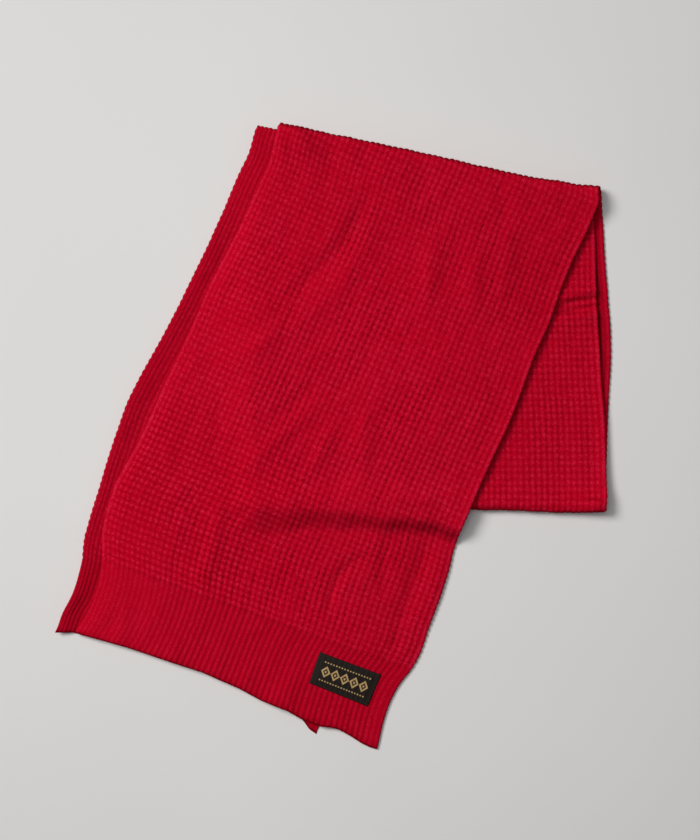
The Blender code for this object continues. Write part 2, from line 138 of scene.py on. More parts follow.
FRONT = table(
    Section,
    (-245.8, -185.9, 41.1, -297.1), (-244.4, -183.8, 41.7, -294.7), (-235.1, -169, 46.3, -275),
    (-226.8, -150.9, 52.7, -255), (-221.9, -134, 62.5, -236), (-219.8, -116.5, 74, -221.1),
    (-219.8, -106, 81.5, -207.5), (-220, -97, 91, -180), (-219.6, -89, 101.5, -151.5),
    (-218.4, -83, 109.5, -127), (-217.2, -77.5, 113.5, -110), (-215.8, -71.5, 116.2, -101),
    (-213.9, -65, 119, -92), (-211.5, -57.5, 123, -82.5), (-208.2, -46.3, 129, -68.5),
    (-199.5, -30, 138.5, -47.5), (-184, -2, 152, -18), (-170.5, 27, 166, 12), (-158, 55, 177.5, 41),
    (-144.5, 83, 189.5, 74.5), (-131, 113, 204.5, 108.5), (-118, 143, 215.3, 139),
    (-103, 172, 226.5, 167), (-87.1, 202, 238, 190), (-73, 232.5, 246, 209),
    (-61.5, 259, 250.1, 221.5),
)
UNDER = table(
    Section,
    (-263.8, -185.9, -16.6, -283), (-262.9, -184.2, -16, -280.4), (-256.7, -167.4, -4, -264),
    (-247.6, -149.8, 12, -246), (-241.5, -130.7, 34, -224), (-238.1, -116.1, 52, -205),
    (-237, -104, 66, -186), (-235.5, -94, 78, -166), (-233.3, -86, 87, -146),
    (-231.3, -78.5, 95, -124), (-229.3, -71.5, 101.5, -104), (-227.3, -65, 106.5, -91),
    (-225.1, -58, 110.5, -80), (-222.2, -48.5, 115.5, -66.5), (-215.7, -26, 127, -42),
    (-205, 6, 142, -9), (-194.7, 34, 157, 25), (-180.5, 62, 170, 56), (-163.8, 92, 183, 89),
    (-147, 124, 197, 121), (-132, 155, 209, 149), (-117.5, 185, 220.5, 174),
    (-103.5, 216, 231.5, 196), (-90, 248, 238.5, 211), (-80, 268, 241, 219),
)
BACK = table(
    Section,
    (-62.5, 262, 246.5, 207), (-62, 236, 248, 186), (-62.5, 206, 248.4, 162),
    (-63, 172, 248.9, 134), (-63.5, 140, 250, 111), (-64, 106, 251.8, 85), (-65, 70, 253.8, 52),
    (-65.5, 36, 256, 24), (-66, 4, 257.3, -4), (-65.5, -26, 258, -30), (-65, -48, 258.4, -48),
    (-65, -58, 258.3, -58.5),
)
LOWER = table(
    Section,
    (-49, 250, 256, 196), (-52.5, 215, 257.7, 168), (-56, 175, 260.4, 133), (-59, 135, 262.9, 100),
    (-61, 95, 263, 72), (-63, 55, 261.5, 42), (-64.5, 15, 260.1, 6), (-65, -22, 258.9, -27),
    (-65, -49.5, 258.4, -49.5),
)
print("section rows:", len(FRONT), len(UNDER), len(BACK), len(LOWER))

# %% [markdown]
# ## Folds, waves and creases
#
# A fold is a line with a depth.  A wave moves the hem or a fold's line in by so
# much at a share of the width.  The edge tables say where a layer runs out past
# the stack below it and how wide its fall is there.  A crease is a soft ridge
# or, with a negative rise, a dip along a curve through three points.

# %% Folds, hem waves and creases
Fold = namedtuple("Fold", "left_x left_y right_x right_y depth tail skew")
OUTER_FOLD = Fold(-49.6, 296.7, 253.6, 236.4, 8.0, 2.0, 0.20)
INNER_FOLD = Fold(-71.9, 294.6, 243.5, 227.9, 1.9, 4.0, 0.20)
BOTTOM_FOLD = Fold(-65.0, -71.5, 257.8, -71.5, 5.5, 8.0, 0.0)

Wave = namedtuple("Wave", "across inset")
FRONT_HEM = table(
    Wave,
    (0, 0), (0.08, 2.6), (0.16, 4.9), (0.28, 6.6), (0.41, 8.4), (0.54, 6.9), (0.61, 4.5),
    (0.7, 4.5), (0.745, 1.8), (0.815, 1.4), (0.84, 3.6), (0.866, 4.7), (0.908, 2.8), (0.945, 0.3),
    (0.975, -0.6), (1, 0),
)
UNDER_HEM = table(
    Wave,
    (0, 0), (0.07, 6.8), (0.17, 12), (0.32, 14.5), (0.55, 18), (0.78, 15.5), (0.9, 11.5),
    (0.925, 9.6), (0.945, 6.5), (0.97, 2), (1, 0),
)
TOP_FOLD_BOW = table(
    Wave,
    (0, 0), (0.15, 0.5), (0.3, 0.9), (0.5, 2), (0.75, 4), (0.9, 2.6), (1, 0),
)
BOTTOM_BOW = table(
    Wave,
    (0, 4.5), (0.45, 4.2), (0.63, 1.6), (0.75, 0.4), (0.85, -0.9), (0.93, -1.7), (1, -0.5),
)
NO_WAVE = table(Wave, (0, 0), (1, 0))

Edge = namedtuple("Edge", "along at")
BAND_LEFT = table(
    Edge,
    (-75, -68), (0, -69), (100, -67), (200, -65), (260, -65.5), (293, -71.9),
)
FRONT_DROP_LEFT = table(
    Edge,
    (-75, -71), (0, -72), (100, -70), (200, -68), (260, -68), (293, -71.9),
)
FRONT_DROP_BOTTOM = table(
    Edge,
    (-80, -62), (0, -66.5), (25, -68.5), (50, -73.5), (75, -74), (96, -77), (122, -86),
)
FRONT_FALL_LEFT = table(Edge, (-75, 30), (0, 42), (100, 56), (293, 60))
FRONT_FALL_BOTTOM = table(Edge, (-70, 34), (-20, 25), (60, 21), (122, 21))
UNDER_FALL_LEFT = table(Edge, (-75, 20), (0, 28), (100, 40), (293, 42))
UNDER_FALL_BOTTOM = table(Edge, (-70, 20), (122, 14))
UNDER_CURL = table(
    Edge,
    (-186, 4.5), (-150, 6.5), (-118, 4.2), (-60, 3.2), (100, 3), (240, 3), (290, 0.5),
)

CREASE_STEPS = np.linspace(0.03, 0.97, 17)
Crease = namedtuple("Crease", "x0 y0 x1 y1 x2 y2 rise half_width")
FRONT_CREASES = table(
    Crease,
    (38, 234, 10, 168, -40, 134, -2.3, 8), (44, 206, 14, 130, -78, 74, 1.8, 9),
    (-50, 106, -66, 91, -84, 76, 1.8, 8), (-12, 56, -32, 36, -58, 13, -1.4, 6),
    (-12, 32, -50, 2, -88, -36, 1.8, 7), (1, 8, -13, -18, -31, -46, 1.8, 7),
    (28, 26, 29, -8, 28, -34, 2, 9), (32, -40, 21, -45, 9, -53, 1.4, 6),
    (92, 184, 92, 150, 87, 112, 2.1, 10), (134, 182, 132, 150, 126, 112, 2.1, 10),
    (167, 198, 163, 162, 158, 126, 1.6, 9), (-56, 284, -54, 275, -52, 266, 1.6, 7),
    (-34, 290, -30, 276, -26, 260, 2.2, 9), (-8, 286, -2, 266, 4, 246, -2.6, 14),
    (26, 272, 30, 260, 32, 248, -1.4, 11), (78, 256, 82, 242, 84, 228, -1.7, 11),
    (158, 240, 162, 222, 162, 204, -1.8, 9), (-102, -48, -111, -90, -123, -138, 3.3, 7.5),
    (-88, -52, -95, -90, -106, -130, 1.5, 15), (88, -100, 76, -142, 54, -206, -2.8, 8),
    (104, -112, 99, -145, 84, -180, 1.6, 9), (47, -98, 48, -124, 45, -152, -1.7, 5.5),
    (31, -113, -7, -131, -3, -168, -2.6, 5.5), (-203, -196, -201, -185, -198, -174, 1.5, 7),
    (-154, -212, -152, -201, -149, -190, 1.5, 7), (-111, -226, -109, -215, -106, -204, 1.4, 7),
    (-84, -237, -82, -228, -80, -218, 1.3, 7), (-32, -222, -45, -246, -58, -270, 2.6, 13),
)
BACK_CREASES = table(
    Crease,
    (206, 124, 230, 129, 262, 135, 1.8, 14), (206, 129.5, 230, 134.5, 262, 140.5, 1.6, 5),
    (206, 121.5, 230, 126.5, 262, 132.5, -3, 3.9), (206, 118.5, 230, 123.5, 262, 129.5, 1.4, 2),
    (206, 114.5, 230, 119.5, 262, 125.5, -2.9, 3.4), (206, 106, 230, 111, 262, 117, 1.2, 7),
)
print("folds: 3, creases:", len(FRONT_CREASES) + len(BACK_CREASES))

# %% [markdown]
# ## How high each layer lies
#
# A folded scarf is a stack.  Each layer's height is the height of what lies
# below it, and where the layer runs out past the edge of the stack it falls to
# the floor along a soft S-curve.  Working the heights out as functions of x and
# y, and not as shapes, lets every later step ask for the height anywhere.


# %% Height functions
def by_table(rows, value):
    """The second column of a two-column table, at a value of its first."""
    return np.interp(value, *zip(*rows))


def smooth(share):
    share = np.clip(share, 0.0, 1.0)
    return share * share * (3.0 - 2.0 * share)


def band_bottom(x):
    """The bottom fold's outermost line, with its bow."""
    width = BOTTOM_FOLD.right_x - BOTTOM_FOLD.left_x
    return BOTTOM_FOLD.left_y + by_table(BOTTOM_BOW, (x - BOTTOM_FOLD.left_x) / width)


def swollen(height, distance, reach):
    """A bell-shaped swelling: the full height at distance 0, and little past its reach."""
    return height * np.exp(-(distance / reach) ** 2)


def share_held(left, bottom, left_width, bottom_width, beyond, x, y):
    """1 where a layer lies on the stack, falling to 0 past a left edge and a bottom line."""
    beside = left - x
    below = bottom - y
    corner = np.hypot(np.maximum(beside, 0.0), np.maximum(below, 0.0))
    outside = np.where((beside > 0.0) & (below > 0.0), corner, np.maximum(beside, below))
    width = np.where(beside > below, by_table(left_width, y), by_table(bottom_width, x))
    return 1.0 - smooth((outside - beyond) / width)


def inside_left(sections, x, y):
    """How far a point lies inside a stretch's left edge."""
    return x - by_table([(row.left_y, row.left_x) for row in sections], y)


def inside_right(sections, x, y):
    """How far a point lies inside a stretch's right edge."""
    return by_table([(row.right_y, row.right_x) for row in sections], y) - x


def fold_directions(fold, turn_down=True):
    """A fold's line, its unit direction, and the unit direction into the cloth."""
    line = np.array([fold.right_x - fold.left_x, fold.right_y - fold.left_y])
    along = line / np.hypot(*line)
    inward = np.array([along[1], -along[0]]) * (1.0 if turn_down else -1.0)
    return line, along, inward


def bottom_puff(x, y):
    """The back layers swell up beside the bottom fold, and lift what lies on them."""
    past_crown = np.maximum(y - band_bottom(x) - BOTTOM_CROWN, 0.0)
    return swollen(BOTTOM_PUFF, past_crown, BOTTOM_PUFF_REACH)


def crease_rise(creases, x, y):
    """The sum of the creases at each point, each along a curve with faded ends."""
    share = CREASE_STEPS
    weights = np.stack([(1 - share) ** 2, 2 * share * (1 - share), share ** 2])
    fade = np.sqrt(np.sin(np.pi * share))
    rise = np.zeros_like(x)
    for crease in creases:
        curve_x = np.array([crease.x0, crease.x1, crease.x2]) @ weights
        curve_y = np.array([crease.y0, crease.y1, crease.y2]) @ weights
        distance = np.hypot(x[..., None] - curve_x, y[..., None] - curve_y)
        rise += crease.rise * swollen(fade, distance, crease.half_width).max(axis=-1)
    return rise


def lower_height(x, y):
    """The floor, with the band's free corner lifted a little."""
    far = np.hypot(x - BOTTOM_FOLD.right_x, y - BOTTOM_FOLD.right_y)
    return swollen(CORNER_LIFT, far, CORNER_REACH)


def back_height(x, y):
    curl = swollen(BACK_CURL, inside_right(BACK, x, y), BACK_CURL_REACH)
    curl *= smooth((BACK_CURL_TOP - y) / BACK_CURL_FADE)
    return PITCH + lower_height(x, y) + bottom_puff(x, y) + curl + crease_rise(BACK_CREASES, x, y)


def under_height(x, y):
    held = share_held(by_table(BAND_LEFT, y), band_bottom(x), UNDER_FALL_LEFT, UNDER_FALL_BOTTOM,
                      UNDER_FALL_START, x, y)
    curl = by_table(UNDER_CURL, y) * (1.0 - smooth(inside_left(UNDER, x, y) / CURL_REACH))
    pressed = 1.0 - np.clip(inside_right(UNDER, x, y) / PRESSED_REACH, 0.0, 1.0)
    lowered = pressed * (1.0 - PRESSED) * CLOTH / 2.0
    return held * (2.0 * PITCH + bottom_puff(x, y)) + curl - lowered


def front_height(x, y):
    """Underside of the top layer: on the under stretch, puffed up and creased."""
    held = share_held(by_table(FRONT_DROP_LEFT, y), by_table(FRONT_DROP_BOTTOM, x),
                      FRONT_FALL_LEFT, FRONT_FALL_BOTTOM, 0.0, x, y)
    inward = fold_directions(OUTER_FOLD)[2]
    inside = (x - OUTER_FOLD.left_x) * inward[0] + (y - OUTER_FOLD.left_y) * inward[1]
    puff = swollen(FOLD_PUFF, inside, FOLD_PUFF_REACH)
    loft = EDGE_LOFT + (1.0 - EDGE_LOFT) * smooth(inside_left(FRONT, x, y) / EDGE_LOFT_REACH)
    loose = loft * np.maximum(LOFT + crease_rise(FRONT_CREASES, x, y), 0.0) + puff
    clear_of_fold = smooth(inside / FOLD_PUFF_REACH - CLEAR_OF_FOLD)
    to_rim = np.maximum(inside_right(FRONT, x, y), 0.0)
    slope = np.clip(1.0 - to_rim / SAG_REACH, 0.0, 1.0) ** SAG_POWER
    sag = slope * (FLOOR_SAG * (1.0 - held) + BAND_SAG * held * clear_of_fold)
    sag -= swollen(RIM_CURL * held, to_rim, RIM_CURL_REACH)
    return PITCH + held * (2.0 * PITCH + bottom_puff(x, y)) + loose - sag


spot_x, spot_y = np.array([0.0, -150.0, 200.0]), np.array([100.0, -100.0, 60.0])
print("front stretch height at three spots, mm:", front_height(spot_x, spot_y).round(1))

# %% [markdown]
# ## Rolling a flat strip round a fold
#
# Knitted rows don't stop at a fold.  They cross it at a slant and carry on
# below.  So each strip is first drawn unfolded, in one plane, and a roll then
# takes whatever lies past the fold's start round half an ellipse and back under.
# It gives the middle of the wall and the direction that faces out, from which
# both faces of the cloth can be set off.


# %% The fold as a mapping
class Roll:
    """Cloth that runs over a fold, from one height function down to another."""

    def __init__(self, fold, upper, lower, turn_down=True, bow=NO_WAVE):
        self.fold, self.upper, self.lower, self.bow = fold, upper, lower, bow
        self.corner = np.array([fold.left_x, fold.left_y])
        self.line, self.along, self.inward = fold_directions(fold, turn_down)

    def flat(self, slide, inside):
        """The x and y of points by their distances along the fold's line and inside it."""
        at = np.multiply.outer(slide, self.along) + np.multiply.outer(inside, self.inward)
        return self.corner[0] + at[..., 0], self.corner[1] + at[..., 1]

    def facts(self, slide, bow=NO_WAVE):
        """The fold's start (distance inside its line), bow and arc length, where slide says."""
        bowed = by_table(bow, slide / np.hypot(*self.line))
        start = CLOTH / 2.0 + self.fold.depth + bowed
        x, y = self.flat(slide, start)
        half = (self.upper(x, y) - self.lower(x, y)) / 2.0
        return start, bowed, np.pi * np.sqrt((self.fold.depth ** 2 + half ** 2) / 2.0)

    def __call__(self, x, y):
        """Unfolded points taken round the fold: the wall's middle and its outward direction."""
        from_left = np.stack([x, y], axis=-1) - self.corner
        slide, inside, depth = from_left @ self.along, from_left @ self.inward, self.fold.depth
        start, bowed, arc = self.facts(slide, self.bow)
        past = start - inside
        turn = np.pi * np.clip(past / arc, 0.0, 1.0)
        beyond = np.maximum(past - arc, 0.0)
        round_fold = start - depth * np.sin(turn) + beyond - bowed * smooth(beyond / BOW_FADE)
        inset = np.where(past > 0.0, round_fold, inside)
        x, y = self.flat(slide, inset)
        top, foot = self.upper(x, y) + CLOTH / 2.0, self.lower(x, y) + CLOTH / 2.0
        half = (top - foot) / 2.0
        middle = np.stack([x, y, (top + foot) / 2.0 + half * np.cos(turn)], axis=-1)
        sideways = -np.sin(turn) * half
        upright = np.cos(turn) * depth
        out = np.stack([sideways * self.inward[0], sideways * self.inward[1], upright], axis=-1)
        return middle, out / np.hypot(sideways, upright)[..., None]

    def unrolled(self, points):
        """Where points of the layer below the fold lie when the cloth is unfolded."""
        from_left = np.array(points) - self.corner
        slide = from_left @ self.along
        start, _, arc = self.facts(slide)
        return np.stack(self.flat(slide, 2.0 * start - arc - from_left @ self.inward), axis=-1)

    def edge_points(self, side):
        """An edge's two unfolded points where the fold starts and where it ends."""
        start, _, arc = self.facts(np.array([np.hypot(*self.line) * side]))
        points = []
        for distance in (0.0, arc[0]):
            shift = self.fold.skew * (distance - self.fold.depth * np.pi / 2.0)
            points.append(self.corner + self.line * side + self.along * shift
                          + self.inward * (start[0] - distance))
        return points


TOP_ROLL = Roll(OUTER_FOLD, front_height, lower_height, bow=TOP_FOLD_BOW)
INNER_ROLL = Roll(INNER_FOLD, under_height, back_height)
BOTTOM_ROLL = Roll(BOTTOM_FOLD, back_height, lower_height, False, BOTTOM_BOW)
FLOOR_ROLL = Roll(OUTER_FOLD, lower_height, lower_height)
arc_start, arc_end = TOP_ROLL.edge_points(1)
print("the top fold's arc is", round(float(np.hypot(*(arc_end - arc_start))), 1), "mm long")

# %% [markdown]
# ## Smooth edges, and rows that follow the knitting
#
# The rows of each mesh lie on the courses, four to a cell, and its columns lie
# on the ribs, four to a rib.  Then a small grid is enough for crisp knitting,
# because every valley and every crest has its own line of points.  A cubic curve
# through the table's points keeps the long edges smooth.


# %% Edge curves and rows
class EdgeCurve:
    """A smooth curve through points, read by the distance along it."""

    def __init__(self, points):
        self.points = np.array(points, float)
        steps = np.hypot(*np.diff(self.points, axis=0).T)
        self.at = np.concatenate([[0.0], np.cumsum(steps)])
        self.length = self.at[-1]
        self.slope = np.gradient(self.points, self.at, axis=0)

    def __call__(self, distance):
        index = np.clip(np.searchsorted(self.at, distance) - 1, 0, len(self.at) - 2)
        span = self.at[index + 1] - self.at[index]
        share = ((distance - self.at[index]) / span)[:, None]
        span = span[:, None]
        a, b = self.points[index], self.points[index + 1]
        slope_a, slope_b = self.slope[index], self.slope[index + 1]
        rest = 1.0 - share
        return (a * (1.0 + 2.0 * share) * rest ** 2 + b * (1.0 + 2.0 * rest) * share ** 2
                + slope_a * span * share * rest ** 2 - slope_b * span * rest * share ** 2)


Match = namedtuple("Match", "left right")

# Distances from the hem at which one course meets the left and the right edge.
FRONT_MATCH = table(Match, (0, 0), (76, 84), (130, 131), (200, 190), (300, 286), (526, 512), (1026, 1012))
UNDER_MATCH = table(Match, (0, 0), (76, 84), (130, 134), (200, 196), (300, 292), (518, 507), (1018, 1007))
HEM_ROWS = [(0.0, 0.15), (0.5, 0.62), (1.3, 0.86), (2.6, 1.0)]   # distance, thinning
CUFF_ROWS = 17
ROWS_PER_COURSE = 4


def strip_rows(match, end_right):
    """Distances of the mesh's rows along the left edge, from the hem to the last course."""
    end_left = by_table([(pair.right, pair.left) for pair in match], end_right)
    hem = [row[0] for row in HEM_ROWS]
    cuff = np.linspace(hem[-1], CUFF_LENGTH - COURSE / 2, CUFF_ROWS)[1:-1]
    courses = int((end_left - CUFF_LENGTH) / COURSE) + 1
    steps = np.arange(-ROWS_PER_COURSE // 2, courses * ROWS_PER_COURSE + 1)
    return np.concatenate([hem, cuff, CUFF_LENGTH + COURSE * (steps / ROWS_PER_COURSE)])


print("rows on the front stretch:", len(strip_rows(FRONT_MATCH, 625.0)))

# %% Columns across the strip
RIB_PHASES = (0.0, 0.22, 0.5, 0.78)
EDGE_PLACES = (0.04, 0.12, 0.25, 0.5)
INNER_EDGE_PLACES = (0.12, 0.4)


def columns(edge_places, *spans):
    """Places across, in ribs: each span is (first, last, ribs apart, or 0 for fine)."""
    places = [*edge_places, *(RIBS - place for place in edge_places)]
    for first, last, apart in spans:
        if apart:
            places += list(np.arange(first, last, apart))
        else:
            places += [rib + phase for rib in range(first, last) for phase in RIB_PHASES]
    return np.array(sorted(places))


def outer_columns(*spans):
    """The outer face's places, with the last valley always among them."""
    return columns(EDGE_PLACES, *spans, (RIBS - 1, RIBS, 1))


def inner_columns(*spans):
    """The plain inside's places."""
    return columns(INNER_EDGE_PLACES, *spans)


print("columns on the front stretch:", len(outer_columns((1, RIBS - 1, 0))))

# %% [markdown]
# ## A closed wall of cloth
#
# One ring of points goes across the outer face of the cloth and back across the
# inner one.  Bridging ring to ring gives a wall, and a fan at each end closes
# it.  The wall also carries its knitting coordinates: a UV map that counts ribs
# and courses, and attributes that say where the ribbing is and how strongly the
# knit may stand out.


# %% The wall builder
def squeezed(share, squeeze):
    """Places across the strip when its first ribs are pushed together."""
    by, reach = squeeze
    ribs = share * RIBS
    return (ribs - by * (1.0 - np.exp(-ribs / reach)) * (1.0 - share)) / RIBS


def ring_faces(count, rows):
    """Quads between neighbouring rings."""
    here = np.arange(rows - 1)[:, None] * count + np.arange(count)
    after = np.roll(here, -1, axis=1)
    return np.stack([here, after, after + count, here + count], axis=-1).reshape(-1, 4)


def cap_faces(share, outer_count, first):
    """Triangles between the outer and the inner points of one end ring."""
    outer = list(range(outer_count))
    inner = [0] + list(range(len(share) - 1, outer_count - 1, -1)) + [outer[-1]]
    faces = []
    a, b = 0, 0
    while a < len(outer) - 1 or b < len(inner) - 1:
        next_outer = share[outer[a + 1]] if a < len(outer) - 1 else 2.0
        next_inner = share[inner[b + 1]] if b < len(inner) - 1 else 2.0
        if next_outer <= next_inner:
            corners = (outer[a], outer[a + 1], inner[b])
            a += 1
        else:
            corners = (outer[a], inner[b + 1], inner[b])
            b += 1
        if len(set(corners)) == 3:
            faces.append([first + corner for corner in corners])
    return faces


def add_object(name, data):
    item = bpy.data.objects.new(name, data)
    bpy.context.scene.collection.objects.link(item)
    return item


def add_mesh(name, points, edges=(), faces=()):
    """A smooth-shaded mesh object from points in millimetres."""
    mesh = bpy.data.meshes.new(name)
    mesh.from_pydata((points * MM).tolist(), edges, faces)
    mesh.shade_smooth()
    return add_object(name, mesh)


def add_uv(mesh, name, places):
    """A UV map from one pair of numbers for each point of a mesh."""
    corner = np.empty(len(mesh.loops), np.int32)
    mesh.loops.foreach_get("vertex_index", corner)
    mesh.uv_layers.new(name=name).data.foreach_set("uv", places[corner].astype(np.float32).ravel())


def cloth_wall(name, left, right, outer, inner, roll, course, ribbing=0.0, thinning=1.0,
               hem_wave=NO_WAVE, squeeze=(0.0, 1.0), pressed=1.0, flip=False):
    """A closed wall between two edges, one ring for each row of left and right points."""
    share = np.concatenate([[0.0], outer / RIBS, [1.0], inner[::-1] / RIBS])
    outer_count = len(outer) + 2
    side = np.where(np.arange(len(share)) < outer_count, 1.0, -1.0)
    line = right - left
    run = np.hypot(line[:, 0], line[:, 1])[:, None]
    spread = squeezed(share, squeeze)
    in_cuff = np.clip(course / HEM, 0.0, 1.0)[:, None]
    inset = (by_table(hem_wave, spread) + (side < 0.0) * HEM_TUCK) * in_cuff
    x = left[:, :1] + line[:, :1] * spread - inset * line[:, 1:] / run
    y = left[:, 1:] + line[:, 1:] * spread + inset * line[:, :1] / run
    middle, out = roll(x, y)
    across = share * RIBS
    from_edge = np.clip(np.minimum(across, RIBS - across) / EDGE_ROLL, 0.0, 1.0)
    edge_round = np.sqrt(1.0 - (1.0 - from_edge) ** 2)
    to_right = (RIBS - across) * run / RIBS
    press = pressed + (1.0 - pressed) * np.clip(to_right / PRESSED_REACH, 0.0, 1.0)
    thinning = np.broadcast_to(thinning, course.shape)[:, None]
    offset = side * edge_round * CLOTH / 2.0 * thinning * press
    points = (middle + out * offset[..., None]).reshape(-1, 3)
    rows, count = x.shape
    faces = ring_faces(count, rows).tolist()
    faces += [face[::-1] for face in cap_faces(share, outer_count, 0)]
    faces += cap_faces(share, outer_count, (rows - 1) * count)
    if flip:
        faces = [face[::-1] for face in faces]
    wall = add_mesh(name, points, faces=faces)
    field = {
        "across": across,
        "along": course[:, None],
        "ribbing": np.broadcast_to(ribbing, course.shape)[:, None],
        "proud": (side > 0.0) * smooth(thinning * 2.0 - 1.0),
    }
    for title, values in field.items():
        field[title] = np.array(np.broadcast_to(values, x.shape), np.float32).ravel()
        wall.data.attributes.new(title, "FLOAT", "POINT").data.foreach_set("value", field[title])
    add_uv(wall.data, "knit", np.stack([field["across"], field["along"]], axis=-1))
    print(name, "wall:", rows, "rows,", count, "points round")
    return wall


# %% [markdown]
# ## The four stretches
#
# The front and the under stretch start at a cuffed hem and run over a fold.
# Each hands over to the next stretch on the first course that is clear of the
# fold, where the join is hidden in the stack.  The columns are fine only where
# the cloth shows.

# %% Front and under stretches
ROWS_PAST_FOLD = 4            # rows of the next stretch that guide an edge past the fold


def edge_of(rows, side):
    """The points of a section table's left edge (side 0) or right edge (side 1)."""
    return [row[2 * side:2 * side + 2] for row in rows]


def hemmed_stretch(name, sections, next_sections, roll, match, hem_wave, outer, inner, squeeze, pressed):
    """A stretch from its hem round a top fold, and its last row once folded."""
    edges = []
    for side in (0, 1):
        past_fold = roll.unrolled(edge_of(next_sections[:ROWS_PAST_FOLD], side))
        edges.append(EdgeCurve([*edge_of(sections, side), *roll.edge_points(side), *past_fold]))
    fold_end = edges[1].at[len(sections) + 1]
    distance = strip_rows(match, fold_end + roll.fold.tail)
    left, right = edges[0](distance), edges[1](by_table(match, distance))
    past_cuff = distance - CUFF_LENGTH
    wall = cloth_wall(
        name, left, right, outer, inner, roll, past_cuff / COURSE,
        1.0 - smooth(past_cuff / CUFF_BLEND + 0.5), by_table(HEM_ROWS, distance),
        hem_wave, squeeze, pressed)
    last_row, _ = roll(*np.array([left[-1], right[-1]]).T)
    return wall, last_row[:, :2]


front_wall, front_end = hemmed_stretch(
    "front_knit", FRONT, LOWER, TOP_ROLL, FRONT_MATCH, FRONT_HEM,
    outer_columns((1, RIBS - 1, 0)), inner_columns((2, 30, 2.33), (30, 57, 2.25)), (1.8, 10.0), 1.0)
under_wall, under_end = hemmed_stretch(
    "under_knit", UNDER, BACK, INNER_ROLL, UNDER_MATCH, UNDER_HEM,
    outer_columns((1, 9, 0), (9.5, 53, 1), (53, RIBS - 1, 0)), inner_columns((2, 57, 2.3)),
    (2.4, 5.0), PRESSED)
print("last rows once folded, mm:", front_end.round(1).tolist(), under_end.round(1).tolist())


# %% Back and lower stretches
def plain_stretch(name, first_row, sections, last_row, outer, inner, roll, past_last=()):
    """A stretch from a hand-over row down to its last row, and on past it."""
    edges = []
    for side in (0, 1):
        clear = first_row[side][1] - COURSE
        points = [first_row[side], *(point for point in edge_of(sections, side) if point[1] < clear)]
        x, y = last_row[side]
        edges.append(EdgeCurve([*points, (x, y), *((x, y - distance) for distance in past_last)]))
    count = int(round(edges[1].length / COURSE * ROWS_PER_COURSE)) + 1
    share = np.linspace(0.0, 1.0, count)
    left, right = [edge(share * edge.length) for edge in edges]
    course = share * (count - 1) / ROWS_PER_COURSE
    return cloth_wall(name, left, right, outer, inner, roll, course, flip=True)


FOLD_START_Y = BOTTOM_FOLD.left_y + CLOTH / 2.0 + BOTTOM_FOLD.depth
BOTTOM_START = [(x, FOLD_START_Y) for x in (BOTTOM_FOLD.left_x, BOTTOM_FOLD.right_x)]
LOWER_END = [(x, y + BOTTOM_FOLD.tail) for x, y in BOTTOM_START]
ARC_PLACE = 160.0             # where along the bottom fold its arc is measured
BOTTOM_ARC = BOTTOM_ROLL.facts(np.array([ARC_PLACE]))[2][0]
back_wall = plain_stretch(
    "back_knit", under_end, BACK, BOTTOM_START,
    outer_columns((1.5, 31, 1), (31, RIBS - 1, 0)), inner_columns((2, 57, 5.5)),
    BOTTOM_ROLL, [BOTTOM_ARC + BOTTOM_FOLD.tail])
lower_wall = plain_stretch(
    "lower_knit", front_end, LOWER, LOWER_END,
    outer_columns((1.5, 53, 2), (53, RIBS - 1, 0)), inner_columns((2, 57, 9.0)), FLOOR_ROLL)
print("bottom fold's arc, mm:", round(float(BOTTOM_ARC), 1))

# %% [markdown]
# ## Nodes from plain arithmetic
#
# Both kinds of node tree need a lot of maths.  Wiring it by hand hides the
# formula, so a number socket is wrapped in a small class that understands +, -,
# * and /.  Each operation adds its Math node, and the script reads like the
# formula that it stands for.


# %% The socket wrapper
def operator(operation, swapped=False):
    """A method that joins two numbers with a Math node."""
    def method(self, other):
        items = (other, self) if swapped else (self, other)
        return self.graph.maths(operation, *items)
    return method


class Value:
    """A number socket that can be used in plain arithmetic."""

    __add__ = __radd__ = operator("ADD")
    __mul__ = __rmul__ = operator("MULTIPLY")
    __sub__ = operator("SUBTRACT")
    __rsub__ = operator("SUBTRACT", swapped=True)
    __truediv__ = operator("DIVIDE")
    __pow__ = operator("POWER")

    def __init__(self, graph, socket):
        self.graph = graph
        self.socket = socket

    def __abs__(self):
        return self.graph.maths("ABSOLUTE", self)


